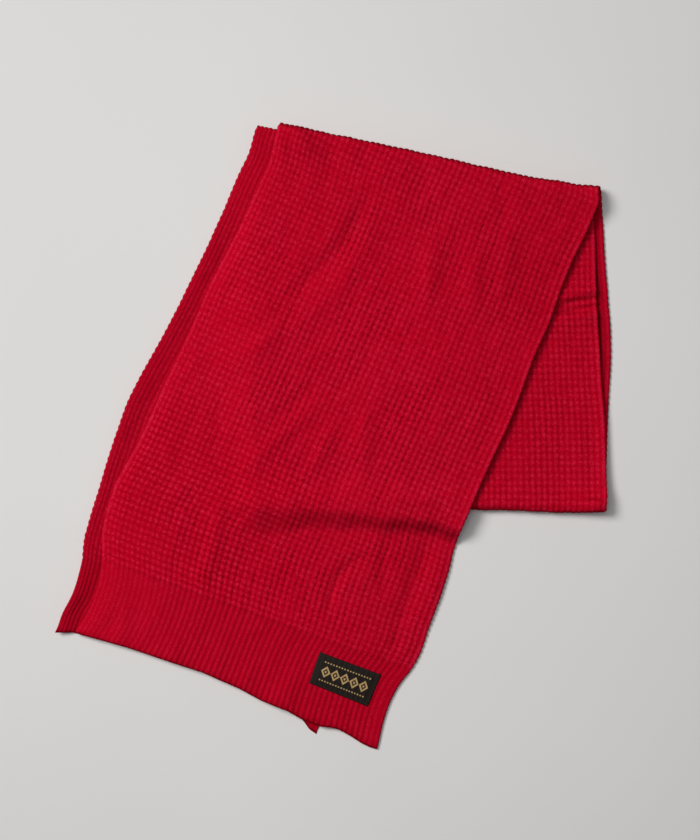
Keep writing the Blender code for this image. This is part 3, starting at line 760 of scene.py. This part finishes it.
class Graph:
    """Adds nodes to one node tree."""

    def __init__(self, tree):
        self.tree = tree

    def plug(self, socket, item):
        if isinstance(item, Value):
            item = item.socket
        if isinstance(item, bpy.types.NodeSocket):
            self.tree.links.new(item, socket)
        else:
            socket.default_value = item

    def node(self, kind, sockets=None, **settings):
        """The outlets of a new node, with its settings set first and then its sockets."""
        made = self.tree.nodes.new(kind)
        for name, value in settings.items():
            setattr(made, name, value)
        for key, value in (sockets or {}).items():
            self.plug(made.inputs[key], value)
        return made.outputs

    def value(self, kind, sockets=None, outlet=0, **settings):
        return Value(self, self.node(kind, sockets, **settings)[outlet])

    def maths(self, operation, *items):
        return self.value("ShaderNodeMath", dict(enumerate(items)), operation=operation)

    def larger(self, *items):
        return self.maths("MAXIMUM", *items)

    def ripple(self, item):
        """A smooth wave: 1 at every whole number and 0 halfway between."""
        return self.maths("COSINE", item * TURN) * 0.5 + 0.5

    def step(self, item, low, high):
        """0 below low, 1 above high, and smooth between."""
        return self.value("ShaderNodeMapRange", {"Value": item, "From Min": low, "From Max": high},
                          interpolation_type="SMOOTHSTEP")

    def noise(self, vector, scale, detail=1.0, outlet="Fac"):
        """Noise from 0 to 1 over a vector."""
        sockets = {"Vector": vector, "Scale": scale, "Detail": detail}
        return self.value("ShaderNodeTexNoise", sockets, outlet)

    def vector(self, x, y, z=0.0):
        return self.value("ShaderNodeCombineXYZ", {0: x, 1: y, 2: z})

    def parts(self, vector):
        """The three numbers of a vector."""
        return [Value(self, outlet) for outlet in self.node("ShaderNodeSeparateXYZ", {0: vector})]


print("the wrapper knows +, -, *, /, ** and abs")

# %% [markdown]
# ## Two ends that every rule shares
#
# A Geometry Nodes rule starts with named number inputs and one material, and
# ends by making its points real and giving them that material.  A piece is run
# through its rule with the inputs set first, and keeps only the plain mesh.


# %% Starting, ending and running a tree
def start_rule(name, sizes, material):
    """A new Geometry Nodes group: its graph, its inputs, and its numbers by name."""
    tree = bpy.data.node_groups.new(name, "GeometryNodeTree")
    sockets = {"Geometry": "Geometry", **dict.fromkeys(sizes, "Float"), material: "Material"}
    for title, kind in sockets.items():
        socket = tree.interface.new_socket(title, in_out="INPUT", socket_type="NodeSocket" + kind)
        if title in sizes:
            socket.default_value = sizes[title]
    tree.interface.new_socket("Geometry", in_out="OUTPUT", socket_type="NodeSocketGeometry")
    graph = Graph(tree)
    given = graph.node("NodeGroupInput")
    return graph, given, {title: Value(graph, given[title]) for title in sizes}


def end_rule(graph, geometry, material):
    real = graph.node("GeometryNodeRealizeInstances", {"Geometry": geometry})[0]
    dressed = graph.node("GeometryNodeSetMaterial", {"Geometry": real, "Material": material})[0]
    graph.plug(graph.tree.nodes.new("NodeGroupOutput").inputs[0], dressed)
    return graph.tree


def run_tree(item, tree, given):
    """Runs a node tree on an object and keeps the result as its plain mesh."""
    modifier = item.modifiers.new("rule", "NODES")
    modifier.node_group = tree
    for socket in tree.interface.items_tree:
        if socket.in_out == "INPUT" and socket.name in given:
            modifier[socket.identifier] = given[socket.name]
    item.update_tag()
    evaluated = item.evaluated_get(bpy.context.evaluated_depsgraph_get())
    mesh = bpy.data.meshes.new_from_object(evaluated)
    mesh.name = item.name
    item.modifiers.remove(modifier)
    old = item.data
    item.data = mesh
    bpy.data.meshes.remove(old)
    triangles = sum(len(polygon.vertices) - 2 for polygon in mesh.polygons)
    print(item.name, "has", triangles, "triangles")


print("tools for rules:", start_rule.__name__, end_rule.__name__, run_tree.__name__)

# %% [markdown]
# ## Raising the knit with Geometry Nodes
#
# Waffle knitting follows a rule, so it is a good job for Geometry Nodes.  Across
# the cloth there is a rib, then a valley.  Along each rib the stitches bulge once
# a course, and the deepest pits lie where a valley crosses the gap between two
# bulges.  One formula in ribs and courses gives that, a little noise makes it
# hand-like, and every outer point moves in along its own normal.  The tree also
# stores how deep each point lies, and the masks where the colour paints shade:
# rims that turn away from up, the hem's edge, and cloth beside the layer above.

# %% The knit tree
KNIT_INPUTS = {
    "Valley": 0.6,        # mm, depth of the groove between two ribs
    "Fold Valley": 0.7,   # mm, extra depth where a fold stretches the knit open
    "Pit": 0.35,          # mm, extra depth where the cells meet
    "Furrow": 0.3,        # mm, dip along a rib between two cells
    "Firm": 0.5,          # share of the dip left where the cells fade into ribs
    "Cuff": 0.7,          # mm, depth of the cuff's grooves
    "Cuff Left": 0.22,    # share of it left beside the left edge
    "Border": 0.22,       # mm, depth of the line between cuff and waffle
    "Scallop": 0.35,      # mm, how far the selvedge swells at each course
    "Wander": 0.8,        # mm, how far rows stray from straight
    "Rumple": 2.8,        # mm, soft unevenness of the whole cloth
    "Ribbed": 0.0,        # share by which the cells give way to plain ribs
    "Shadow Ribs": RIBS,       # ribs from the right edge past which the colour darkens, a painted shadow of the layer above
    "Turning": 0.85,      # how upright the surface is where painted shade starts to darken it
    "Shade": 0.0,         # share of painted shade that darkens the colour all over
    "Fold Shade": 0.0,    # and share of painted shade that darkens it on the way to the top fold
    "Open": 1.0,          # how open the knit is all over
    "Open Middle": 0.0,   # how much more open the knit is in the middle of the strip
    "Seed": 1.0,
}


def knit_tree():
    """The knit's rule.  A step over across is a range of ribs, and over along one of courses."""
    graph, given, size = start_rule("waffle_knit", KNIT_INPUTS, "Cloth")
    step = graph.step

    def attribute(name):
        return graph.value("GeometryNodeInputNamedAttribute", {"Name": name}, data_type="FLOAT")

    across, along, in_cuff, proud = map(attribute, ("across", "along", "ribbing", "proud"))
    ribbing = graph.larger(in_cuff, size["Ribbed"])
    from_right = RIBS - across
    from_edge = graph.maths("MINIMUM", across, from_right)

    def hand(over_ribs, over_courses, draw, scale=1.0, detail=1.0, outlet="Fac"):
        """The unevenness of a hand: noise as fine as the first two numbers, one for each draw."""
        spot = graph.vector(across * over_ribs, along * over_courses, size["Seed"] + draw)
        return graph.noise(spot, scale, detail, outlet)

    # Uneven hand: broad patches, lengthwise streaks and single cells.
    patches = hand(0.10, 0.07, 0.0)
    streaks = hand(0.7, 0.09, 13.0)
    cells = hand(1.0, 1.0, 7.0, scale=1.1)
    open_knit = step(patches, 0.32, 0.68) * 0.5 + step(streaks, 0.3, 0.7) * 0.5
    middle = step(across, 9.0, 24.0) * (1.0 - step(across, 48.0, 56.0) * 0.6)
    middle *= 1.0 - step(along, 34.0, 62.0)
    tight = (1.0 - step(across, 6.0, 18.0)) * 0.35
    uneven = (0.25 + open_knit + (cells - 0.5) * 0.8) * (1.0 - tight) * size["Open"]
    uneven += middle * size["Open Middle"]

    # Whole cells show beside the left edge and above the cuff, and ribs elsewhere.
    beside_left = (1.0 - step(across, 9.0, 20.0)) * 0.3
    above_cuff = (1.0 - step(across, 24.0, 38.0)) * (1.0 - step(along, 20.0, 32.0))
    firm = size["Firm"] + (1.0 - size["Firm"]) * graph.larger(beside_left, above_cuff)

    # The formula, in ribs and courses.
    groove = graph.ripple(across) ** 2.5
    gap = graph.ripple(along) ** 1.2
    normal = graph.parts(graph.node("GeometryNodeInputNormal")["Normal"])
    flatness = abs(normal[2])
    on_fold = 1.0 - step(flatness, 0.35, 0.95)
    pit = size["Valley"] + size["Pit"] * gap * firm
    waffle = groove * (pit * uneven + size["Fold Valley"] * on_fold) + gap * size["Furrow"] * firm
    left_share = size["Cuff Left"] + (1.0 - size["Cuff Left"]) * step(across, 6.0, 22.0)
    right_share = 1.0 - step(across, RIBS - 3.5, RIBS - 1.0) * 0.7
    cuff = groove * size["Cuff"] * left_share * right_share
    border = (1.0 - step(abs(along), 0.1, 0.5)) * step(in_cuff, 0.0, 0.2)
    sunk = waffle * (1.0 - ribbing) + cuff * ribbing + size["Border"] * border

    # The selvedge is a smooth roll that swells once a course.
    inner_part = step(from_edge, 0.35, 0.95)
    swell = size["Scallop"] * (0.5 - gap) * (1.0 - step(from_edge, 0.1, 0.9)) * (1.0 - in_cuff)
    rumple = (hand(0.27, 0.19, 41.0, detail=2.0) - 0.5) * size["Rumple"] * step(from_edge, 0.5, 3.0)
    outward = (swell - proud * (sunk * inner_part + rumple)) * MM

    # Along the cloth the rows wander, and nothing sinks into the floor.
    stray = hand(0.09, 0.1, 29.0, detail=2.0, outlet="Color")
    reach = size["Wander"] * (2.0 * MM)
    wander_x, wander_y = ((share - 0.5) * reach for share in graph.parts(stray)[:2])
    spot = graph.parts(graph.node("GeometryNodeInputPosition")[0])
    x, y, z = (place + outward * way for place, way in zip(spot, normal))
    moved = graph.vector(x + wander_x, y + wander_y, graph.larger(z, 0.0))

    # What the colour needs to know.  The new ribbing is stored before the points
    # move, so the shape reads it too, in place of the wall's own.
    # Painted shade: the colour darkens where the surface turns away from up, as on fold rims and the
    # edges of the stack.
    turned = 1.0 - step(flatness, 0.5, size["Turning"])
    # Painted shade along the hem's outer edge, as if its thickness were in shadow.
    hem_shade = in_cuff * (1.0 - step(along, HEM + 0.2, HEM + 0.5))
    # Painted shadow: cloth past the given ribs from the right edge darkens, where the edge of the layer
    # above shades it.
    in_shadow = step(from_right, size["Shadow Ribs"], size["Shadow Ribs"] + 0.5)
    # hollow, shade and turned carry painted shade to the colour.
    facts = {
        "hollow": proud * sunk * inner_part / (size["Valley"] + size["Pit"]),
        "opening": uneven,
        "firm": firm,
        "shade": size["Shade"] + size["Fold Shade"] * step(along, 48.0, 68.0),
        "ribbing": ribbing,
        "turned": graph.larger(turned, graph.larger(hem_shade, in_shadow)),
    }
    kept = given["Geometry"]
    for title, amount in facts.items():
        kept = graph.node("GeometryNodeStoreNamedAttribute",
                          {"Geometry": kept, "Name": title, "Value": amount},
                          data_type="FLOAT", domain="POINT")[0]
    kept = graph.node("GeometryNodeSetPosition", {"Geometry": kept, "Position": moved})[0]
    return end_rule(graph, kept, given["Cloth"])


knit = knit_tree()
print("knit tree:", len(knit.nodes), "nodes,", len(KNIT_INPUTS), "sizes")

# %% [markdown]
# ## The knit's colour
#
# Dyed wool is matt.  Its colour is painted with light and shade: a painted
# highlight, bright and faintly pink, on the crests where loose fibres catch the
# light, and painted shade, deep red, in the pits, on rims that turn away and
# beside a layer above.  Small noise stands for uneven dye, and a bump pattern of
# little V-shaped stitches, two to a cell, gives the yarn when you look closely.


# %% The red knit material
# The darkest red is painted shade, and the dark end of the fibres' random tone; the pink is a painted
# highlight on the crests, with some loose fibre.
SHADE_AND_TONE_RED = (0.195, 0.0001, 0.004, 1.0)
RED = (0.541, 0.0003, 0.0158, 1.0)
FUZZ_HIGHLIGHT_RED = (0.700, 0.0185, 0.066, 1.0)
RED_KNIT_FACTS = {
    "Roughness": 0.9, "Specular IOR Level": 0.02, "Sheen Weight": 0.03,
    "Sheen Roughness": 0.5, "Sheen Tint": (0.9, 0.1, 0.16, 1.0),
}


class Look(Graph):
    """A material with a Principled shader, and the graph that feeds it."""

    def __init__(self, name, facts):
        self.material = bpy.data.materials.new(name)
        self.material.use_nodes = True
        super().__init__(self.material.node_tree)
        self.shader = self.tree.nodes["Principled BSDF"]
        for socket, value in facts.items():
            self.shader.inputs[socket].default_value = value

    def feed(self, socket, item):
        self.plug(self.shader.inputs[socket], item)

    def blend(self, share, low, high):
        """A colour between two others."""
        return self.node("ShaderNodeMix", {0: share, 6: low, 7: high}, data_type="RGBA")[2]

    def counted(self, name):
        """The two numbers of a UV map."""
        return self.parts(self.node("ShaderNodeUVMap", uv_map=name)[0])[:2]

    def place(self):
        return self.node("ShaderNodeTexCoord")["Object"]

    def feed_bump(self, strength, distance, height):
        sockets = {"Strength": strength, "Distance": distance, "Height": height}
        self.feed("Normal", self.node("ShaderNodeBump", sockets)[0])


def knit_material():
    look = Look("red_knit", RED_KNIT_FACTS)
    place = look.place()
    across, along = look.counted("knit")

    def attribute(name):
        return look.value("ShaderNodeAttribute", {}, "Fac", attribute_name=name)

    hollow, opening, firm, shade, ribbing, turned = map(
        attribute, ("hollow", "opening", "firm", "shade", "ribbing", "turned"))

    # Beads of loose fibre and painted highlight on the crests, a little out of line.
    shift = look.parts(look.noise(look.vector(across, along), 1.7, 1.0, "Color"))
    crest = 1.0 - look.ripple(across + (shift[0] - 0.5) * 0.7)
    swell = 1.0 - look.ripple(along + (shift[1] - 0.5) * 0.7)
    from_edge = look.maths("MINIMUM", across, RIBS - across)
    beaded = (1.0 - ribbing) * look.step(from_edge, 0.8, 1.1)
    bead = crest * (1.0 - (1.0 - swell) * beaded * (0.3 + firm * 0.7)) * (0.6 + firm * 0.4)
    bead = bead * (1.0 - ribbing * 0.6) * (1.0 - shade * 0.6) * (1.0 - turned * 0.8)

    # Painted shade: the colour darkens towards the darkest red in the pits, the slots
    # between ribs, the dips between cells and the cuff's grooves, on rims that turn
    # away, along the hem and beside a layer above, and by the Shade sizes; the fibre
    # noise adds random tone.
    fibre = look.noise(place, 1000.0, 2.0)
    ragged = look.step(look.noise(place, 420.0, 1.0), 0.25, 0.7)
    slot = (1.0 - crest) ** 3.0 * (1.0 - swell * 0.65) * opening * ragged
    dip = (1.0 - swell) ** 2.0 * firm
    lines = hollow * (0.2 + 0.25 * ribbing) + (slot * 0.65 + dip * 0.15) * beaded
    depth = lines + shade * 0.35 + ribbing * 0.10 + turned * 0.75 + (0.5 - fibre) * 0.7
    deep = look.blend(look.maths("MINIMUM", depth, 1.0), RED, SHADE_AND_TONE_RED)
    dye = look.noise(place, 14.0, 2.0) * 0.4 + look.noise(place, 120.0, 2.0) * 0.6
    # Painted highlight: the crests turn pink where the dye and fibre noise allow.
    fuzz_and_highlight = bead * look.step(dye + (fibre - 0.5) * 3.0, 0.25, 0.85)
    look.feed("Base Color", look.blend(fuzz_and_highlight, deep, FUZZ_HIGHLIGHT_RED))

    # Two V-shaped stitches to each cell, then the fuzz of single fibres.
    from_crest = abs(look.maths("FRACT", across) - 0.5)
    strand = look.maths("SINE", (along * 2.0 + from_crest * 1.6) * TURN)
    look.feed_bump(0.5, 0.0004, strand * 0.12 + (fibre - 0.5) * 0.5)
    return look.material


red_knit = knit_material()
print("red knit nodes:", len(red_knit.node_tree.nodes))

# %% [markdown]
# ## Knitting the walls
#
# All four walls go through the same tree.  The face side of the cloth, which
# shows on the front and the back, has strong cells.  The reverse side, which
# shows on the narrow strips, is plainer: mostly ribs.  The Shade sizes paint
# shade on the colour: darker on the reverse side and the back, and on the front
# towards the top fold.

# %% Knit all four walls
FACE_SIDE = {"Valley": 0.45, "Pit": 0.2, "Furrow": 0.18, "Scallop": 0.6}
REVERSE_SIDE = {"Valley": 0.8, "Pit": 0.1, "Furrow": 0.1, "Cuff": 0.8, "Cuff Left": 1.0,
                "Scallop": 1.6, "Ribbed": 0.5, "Shade": 0.38, "Firm": 0.3}

for wall, own in (
    (front_wall, {**FACE_SIDE, "Open": 1.08, "Open Middle": 0.15, "Fold Shade": 0.22, "Seed": 5.0}),
    (under_wall, {**REVERSE_SIDE, "Cuff": 0.7, "Seed": 11.0}),
    (back_wall, {**FACE_SIDE, "Furrow": 0.3, "Firm": 1.0, "Fold Valley": 0.0, "Open": 0.75, "Shade": 0.1,
                 "Ribbed": 0.25, "Turning": 0.985, "Seed": 19.0}),
    (lower_wall, {**REVERSE_SIDE, "Scallop": 1.0, "Shadow Ribs": 1.2, "Seed": 27.0}),
):
    run_tree(wall, knit, {**own, "Cloth": red_knit})

# %% [markdown]
# ## The woven label
#
# The label is a small black ribbon with gold thread, sewn to the ribs.  It is
# made as a thin plate whose points are lifted off the cuff: it follows the cloth,
# swells a little in the middle and is pulled down at its sewn ends.

# %% Label plate
LABEL_CORNERS = np.array([(-13.0, -203.6), (45.2, -225.6), (32.3, -256.0), (-23.0, -233.0)])
LABEL_LENGTH, LABEL_DEPTH = 61.2, 31.6
LABEL_CELLS = (72, 38)
LABEL_THICKNESS = 0.9
LABEL_LIFT = 0.15             # between the ribs and the label
LABEL_RIM = 0.8               # width of the label's rounded rim
RIM_SHARE = 0.35              # share of the thickness left at its outermost line
LABEL_SWELL = 0.5
SWELL_REACH = 9.0
LABEL_RIPPLE = 0.12           # height of the ribs that show through it
RIPPLE_LENGTH = 5.4
RIPPLE_REACH = 2.0


def label_point(across, down):
    """A point of the label's top face from shares of its length and its depth."""
    top_left, top_right, low_right, low_left = LABEL_CORNERS
    along = across[..., None]
    drop = down[..., None]
    flat = ((top_left + (top_right - top_left) * along) * (1.0 - drop)
            + (low_left + (low_right - low_left) * along) * drop)
    x, y = flat[..., 0], flat[..., 1]
    edge = np.minimum(np.minimum(across, 1.0 - across) * LABEL_LENGTH,
                      np.minimum(down, 1.0 - down) * LABEL_DEPTH)
    from_rim = np.clip(edge / LABEL_RIM, 0.0, 1.0)
    rim = np.sqrt(from_rim * (2.0 - from_rim))
    swell = LABEL_SWELL * smooth(edge / SWELL_REACH)
    ripple = LABEL_RIPPLE * np.cos(TURN * across * LABEL_LENGTH / RIPPLE_LENGTH)
    thickness = LABEL_THICKNESS * (RIM_SHARE + (1.0 - RIM_SHARE) * rim)
    z = (front_height(x, y) + CLOTH + LABEL_LIFT + swell
         + ripple * smooth(edge / RIPPLE_REACH) + thickness)
    return np.stack([x, y, z], axis=-1)


def label_plate():
    columns, rows = LABEL_CELLS
    across, down = np.meshgrid(np.linspace(0.0, 1.0, columns + 1), np.linspace(0.0, 1.0, rows + 1))
    upper = label_point(across, down)
    under = upper.copy()
    under[..., 2] = front_height(upper[..., 0], upper[..., 1]) + CLOTH + LABEL_LIFT
    count = across.size
    points = np.concatenate([upper.reshape(-1, 3), under.reshape(-1, 3)])
    index = np.arange(count).reshape(across.shape)
    a, b, c, d = index[:-1, :-1], index[1:, :-1], index[1:, 1:], index[:-1, 1:]
    faces = np.stack([a, b, c, d], axis=-1).reshape(-1, 4).tolist()
    faces += (np.stack([a, d, c, b], axis=-1).reshape(-1, 4) + count).tolist()
    rim = np.array([*index[0], *index[1:, -1], *index[-1, -2::-1], *index[-2:0:-1, 0]])
    after = np.roll(rim, -1)
    faces += np.stack([rim, after, after + count, rim + count], axis=-1).tolist()
    plate = add_mesh("woven_label", points, faces=faces)
    flat = np.stack([across.ravel() * LABEL_LENGTH, down.ravel() * LABEL_DEPTH], axis=-1)
    add_uv(plate.data, "thread", np.concatenate([flat, flat]))
    return plate


label = label_plate()
print("label plate:", len(label.data.polygons), "faces")

# %% [markdown]
# ## Gold thread on black
#
# A woven label's picture is made by threads that come up where they are wanted,
# so its lines are slightly stepped and its gold is broken by the black weft.
# The design here is a plain geometric one: a row of lozenges between two rows
# of dashes.

# %% The label material
GOLD = (0.640, 0.420, 0.175, 1.0)
BLACK = (0.010, 0.0055, 0.003, 1.0)
THREAD = 0.34                 # from one gold thread to the next
LOZENGES = 5
LOZENGE_SPACING = 9.6
LOZENGE_HALF = (4.6, 5.6)     # half its width and half its height
OUTLINE = 0.80                # place of the outline, as a share of the lozenge
OUTLINE_SCALE = 3.4           # mm to one lozenge share, for the outline's width
DASH_ROW = 8.8                # from the middle line
DASH_LENGTH = 2.8
SOFT_EDGE = 0.25


def label_material():
    look = Look("label_weave", {"Specular IOR Level": 0.25})
    along, down = look.counted("thread")
    from_middle_x = abs(along - LABEL_LENGTH / 2.0)
    from_middle_y = abs(down - LABEL_DEPTH / 2.0)

    def line(distance, half_width):
        """A soft-edged line where a distance is near zero."""
        return 1.0 - look.step(abs(distance), half_width, half_width + SOFT_EDGE)

    beside = abs(look.maths("FRACT", from_middle_x / LOZENGE_SPACING + 0.5) - 0.5) * LOZENGE_SPACING
    lozenge = beside / LOZENGE_HALF[0] + from_middle_y / LOZENGE_HALF[1]
    row_half = LOZENGE_SPACING * LOZENGES / 2.0
    row = 1.0 - look.step(from_middle_x, row_half, row_half + 0.2)
    outlines = line((lozenge - OUTLINE) * OUTLINE_SCALE, 0.60)
    shapes = look.larger(outlines, 1.0 - look.step(lozenge, 0.22, 0.30))
    dash = look.step(look.maths("COSINE", from_middle_x * (TURN / DASH_LENGTH)), -0.2, 0.1)
    drawn = look.larger(shapes, line(from_middle_y - DASH_ROW, 0.5) * dash) * row

    weft = look.maths("SINE", down * (TURN / THREAD)) * 0.5 + 0.5
    warp = look.maths("SINE", along * (TURN / THREAD)) * 0.5 + 0.5
    gold = drawn * (0.72 + 0.28 * warp) * (0.82 + 0.18 * weft)
    look.feed("Base Color", look.blend(gold, BLACK, GOLD))
    look.feed("Roughness", 0.72 - gold * 0.25)
    look.feed_bump(0.6, 0.00015, gold * 0.8 + weft * warp * 0.4)
    return look.material


label_weave = label_material()
label.data.materials.append(label_weave)
print("label weave nodes:", len(label_weave.node_tree.nodes))

# %% [markdown]
# ## Stitches along a path
#
# The label is sewn on with its own thread: short stitches a fixed length apart,
# just inside its edge.  Geometry Nodes resample a curve into even steps and set
# one small capsule on each, turned along the curve.

# %% Stitch tree
STITCH_INPUTS = {"Stitch": 2.3, "Gap": 0.9, "Thread": 0.22}      # mm
STITCH_INSET = 1.5            # in from the label's edge
PATH_STEPS = 60               # points on each side of the path
THREAD_DARK = (0.008, 0.008, 0.009, 1.0)
THREAD_WORN = (0.035, 0.035, 0.038, 1.0)


def stitch_path():
    """A closed curve on the label's top face, just inside its edge."""
    inset = np.array([STITCH_INSET / LABEL_LENGTH, STITCH_INSET / LABEL_DEPTH])
    step = np.linspace(0.0, 1.0, PATH_STEPS, endpoint=False)[:, None]
    corners = np.array([(0.0, 0.0), (1.0, 0.0), (1.0, 1.0), (0.0, 1.0)]) * (1.0 - 2.0 * inset) + inset
    sides = [a + (b - a) * step for a, b in zip(corners, np.roll(corners, -1, axis=0))]
    points = label_point(*np.concatenate(sides).T)
    count = len(points)
    return add_mesh("label_stitches", points, edges=[(i, (i + 1) % count) for i in range(count)])


def stitch_tree():
    graph, given, size = start_rule("running_stitch", STITCH_INPUTS, "Thread Material")
    stitch, gap, thread = (size[name] * MM for name in STITCH_INPUTS)
    path = graph.node("GeometryNodeMeshToCurve", {0: given["Geometry"]})[0]
    even = graph.node("GeometryNodeResampleCurve", {"Curve": path, "Length": stitch + gap},
                      mode="LENGTH")[0]
    tangent = graph.node("GeometryNodeInputTangent")[0]
    turned = graph.node("FunctionNodeAlignRotationToVector", {"Vector": tangent}, axis="Z")[0]
    capsule = graph.node("GeometryNodeMeshUVSphere", {"Segments": 8, "Rings": 6, "Radius": thread})[0]
    rounded = graph.node("GeometryNodeSetShadeSmooth", {"Geometry": capsule})[0]
    sewn = graph.node("GeometryNodeInstanceOnPoints", {
        "Points": even, "Instance": rounded, "Rotation": turned,
        "Scale": graph.vector(1.0, 1.0, stitch / thread / 2.0)})[0]
    return end_rule(graph, sewn, given["Thread Material"])


def thread_material():
    look = Look("label_thread", {"Roughness": 0.6})
    look.feed("Base Color", look.blend(look.noise(look.place(), 900.0, 2.0), THREAD_DARK, THREAD_WORN))
    return look.material


stitches = stitch_path()
run_tree(stitches, stitch_tree(), {"Thread Material": thread_material()})

# %% [markdown]
# ## What each piece stands for
#
# Every knitted wall replaces the imported solid of the same stretch and rides on
# the part's one body.  The table also lists how large each sheet of cloth was
# before it was folded.

# %% Tie the pieces to the frame
KNIT_PIECES = (
    (front_wall, "front_stretch", (0.313, 0.60), ["under_knit"]),
    (under_wall, "under_stretch", (0.300, 0.58), ["back_knit"]),
    (back_wall, "back_stretch", (0.320, 0.30), ["lower_knit"]),
    (lower_wall, "lower_stretch", (0.318, 0.28), []),
)
for piece, node, flat, below in KNIT_PIECES:
    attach(piece, "root")
    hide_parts(node)
for piece in (label, stitches):
    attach(piece, "root")
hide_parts("label")

# %% [markdown]
# ## The studio
#
# The scarf lies on a pale floor and is seen from straight above.  One large soft
# light stands beyond the top left, which gives each rib a lit and a shaded side,
# and an even pale sky fills the shadows.

# %% Floor
FLOOR_HALF = 6000.0
# Lit and painted-shade tones of the floor.
FLOOR_LIT = (0.815, 0.800, 0.790, 1.0)
FLOOR_SHADED = (0.540, 0.520, 0.510, 1.0)


def floor_material():
    look = Look("pale_floor", {"Roughness": 0.9, "Specular IOR Level": 0.1})
    place = look.place()
    # Painted falloff of light: the floor darkens away from the middle, with a little random mottle.
    far = look.value("ShaderNodeVectorMath", {0: place}, "Value", operation="LENGTH")
    falloff_and_mottle = far * far * 0.9 + (look.noise(place, 3.0, 3.0) - 0.5) * 0.2
    look.feed("Base Color", look.blend(falloff_and_mottle, FLOOR_LIT, FLOOR_SHADED))
    return look.material


floor_corners = np.array([(-1.0, -1.0, 0.0), (1.0, -1.0, 0.0), (1.0, 1.0, 0.0), (-1.0, 1.0, 0.0)])
floor = add_mesh("floor", floor_corners * FLOOR_HALF, faces=[(0, 1, 2, 3)])
floor.data.materials.append(floor_material())
print("floor:", 2.0 * FLOOR_HALF * MM, "m wide")


# %% Light
def area_light(name, place, size, power, colour):
    """A round soft light that looks at the middle of the scarf."""
    data = bpy.data.lights.new(name, "AREA")
    data.shape = "DISK"
    data.size = size
    data.energy = power
    data.color = colour
    lamp = add_object(name, data)
    lamp.location = place
    lamp.rotation_euler = (-Vector(place)).to_track_quat("-Z", "Y").to_euler()


area_light("key", (-2.61, 1.51, 3.34), 2.0, 144.0, (1.0, 0.985, 0.965))
area_light("overhead", (-0.5, 0.5, 3.5), 2.6, 31.0, (0.98, 0.99, 1.0))
sky = bpy.data.worlds.new("pale_sky")
sky.use_nodes = True
sky_light = sky.node_tree.nodes["Background"].inputs
sky_light["Color"].default_value = (0.93, 0.96, 1.0, 1.0)
sky_light["Strength"].default_value = 0.11
bpy.context.scene.world = sky
bpy.context.scene.view_settings.view_transform = "Standard"

# %% Camera
CAMERA_PLACE = (0.0155, 0.0155, 1.8)     # metres, straight above
VIEW_TALL = 0.798                        # metres of floor from the view's top to its foot
SENSOR = 36.0
camera = bpy.data.cameras.new("camera")
camera.sensor_fit = "VERTICAL"
camera.sensor_height = SENSOR
camera.sensor_width = SENSOR
camera.lens = SENSOR * CAMERA_PLACE[2] / VIEW_TALL
eye = add_object("camera", camera)
eye.location = CAMERA_PLACE
bpy.context.scene.camera = eye
print("lens:", round(camera.lens, 1), "mm")
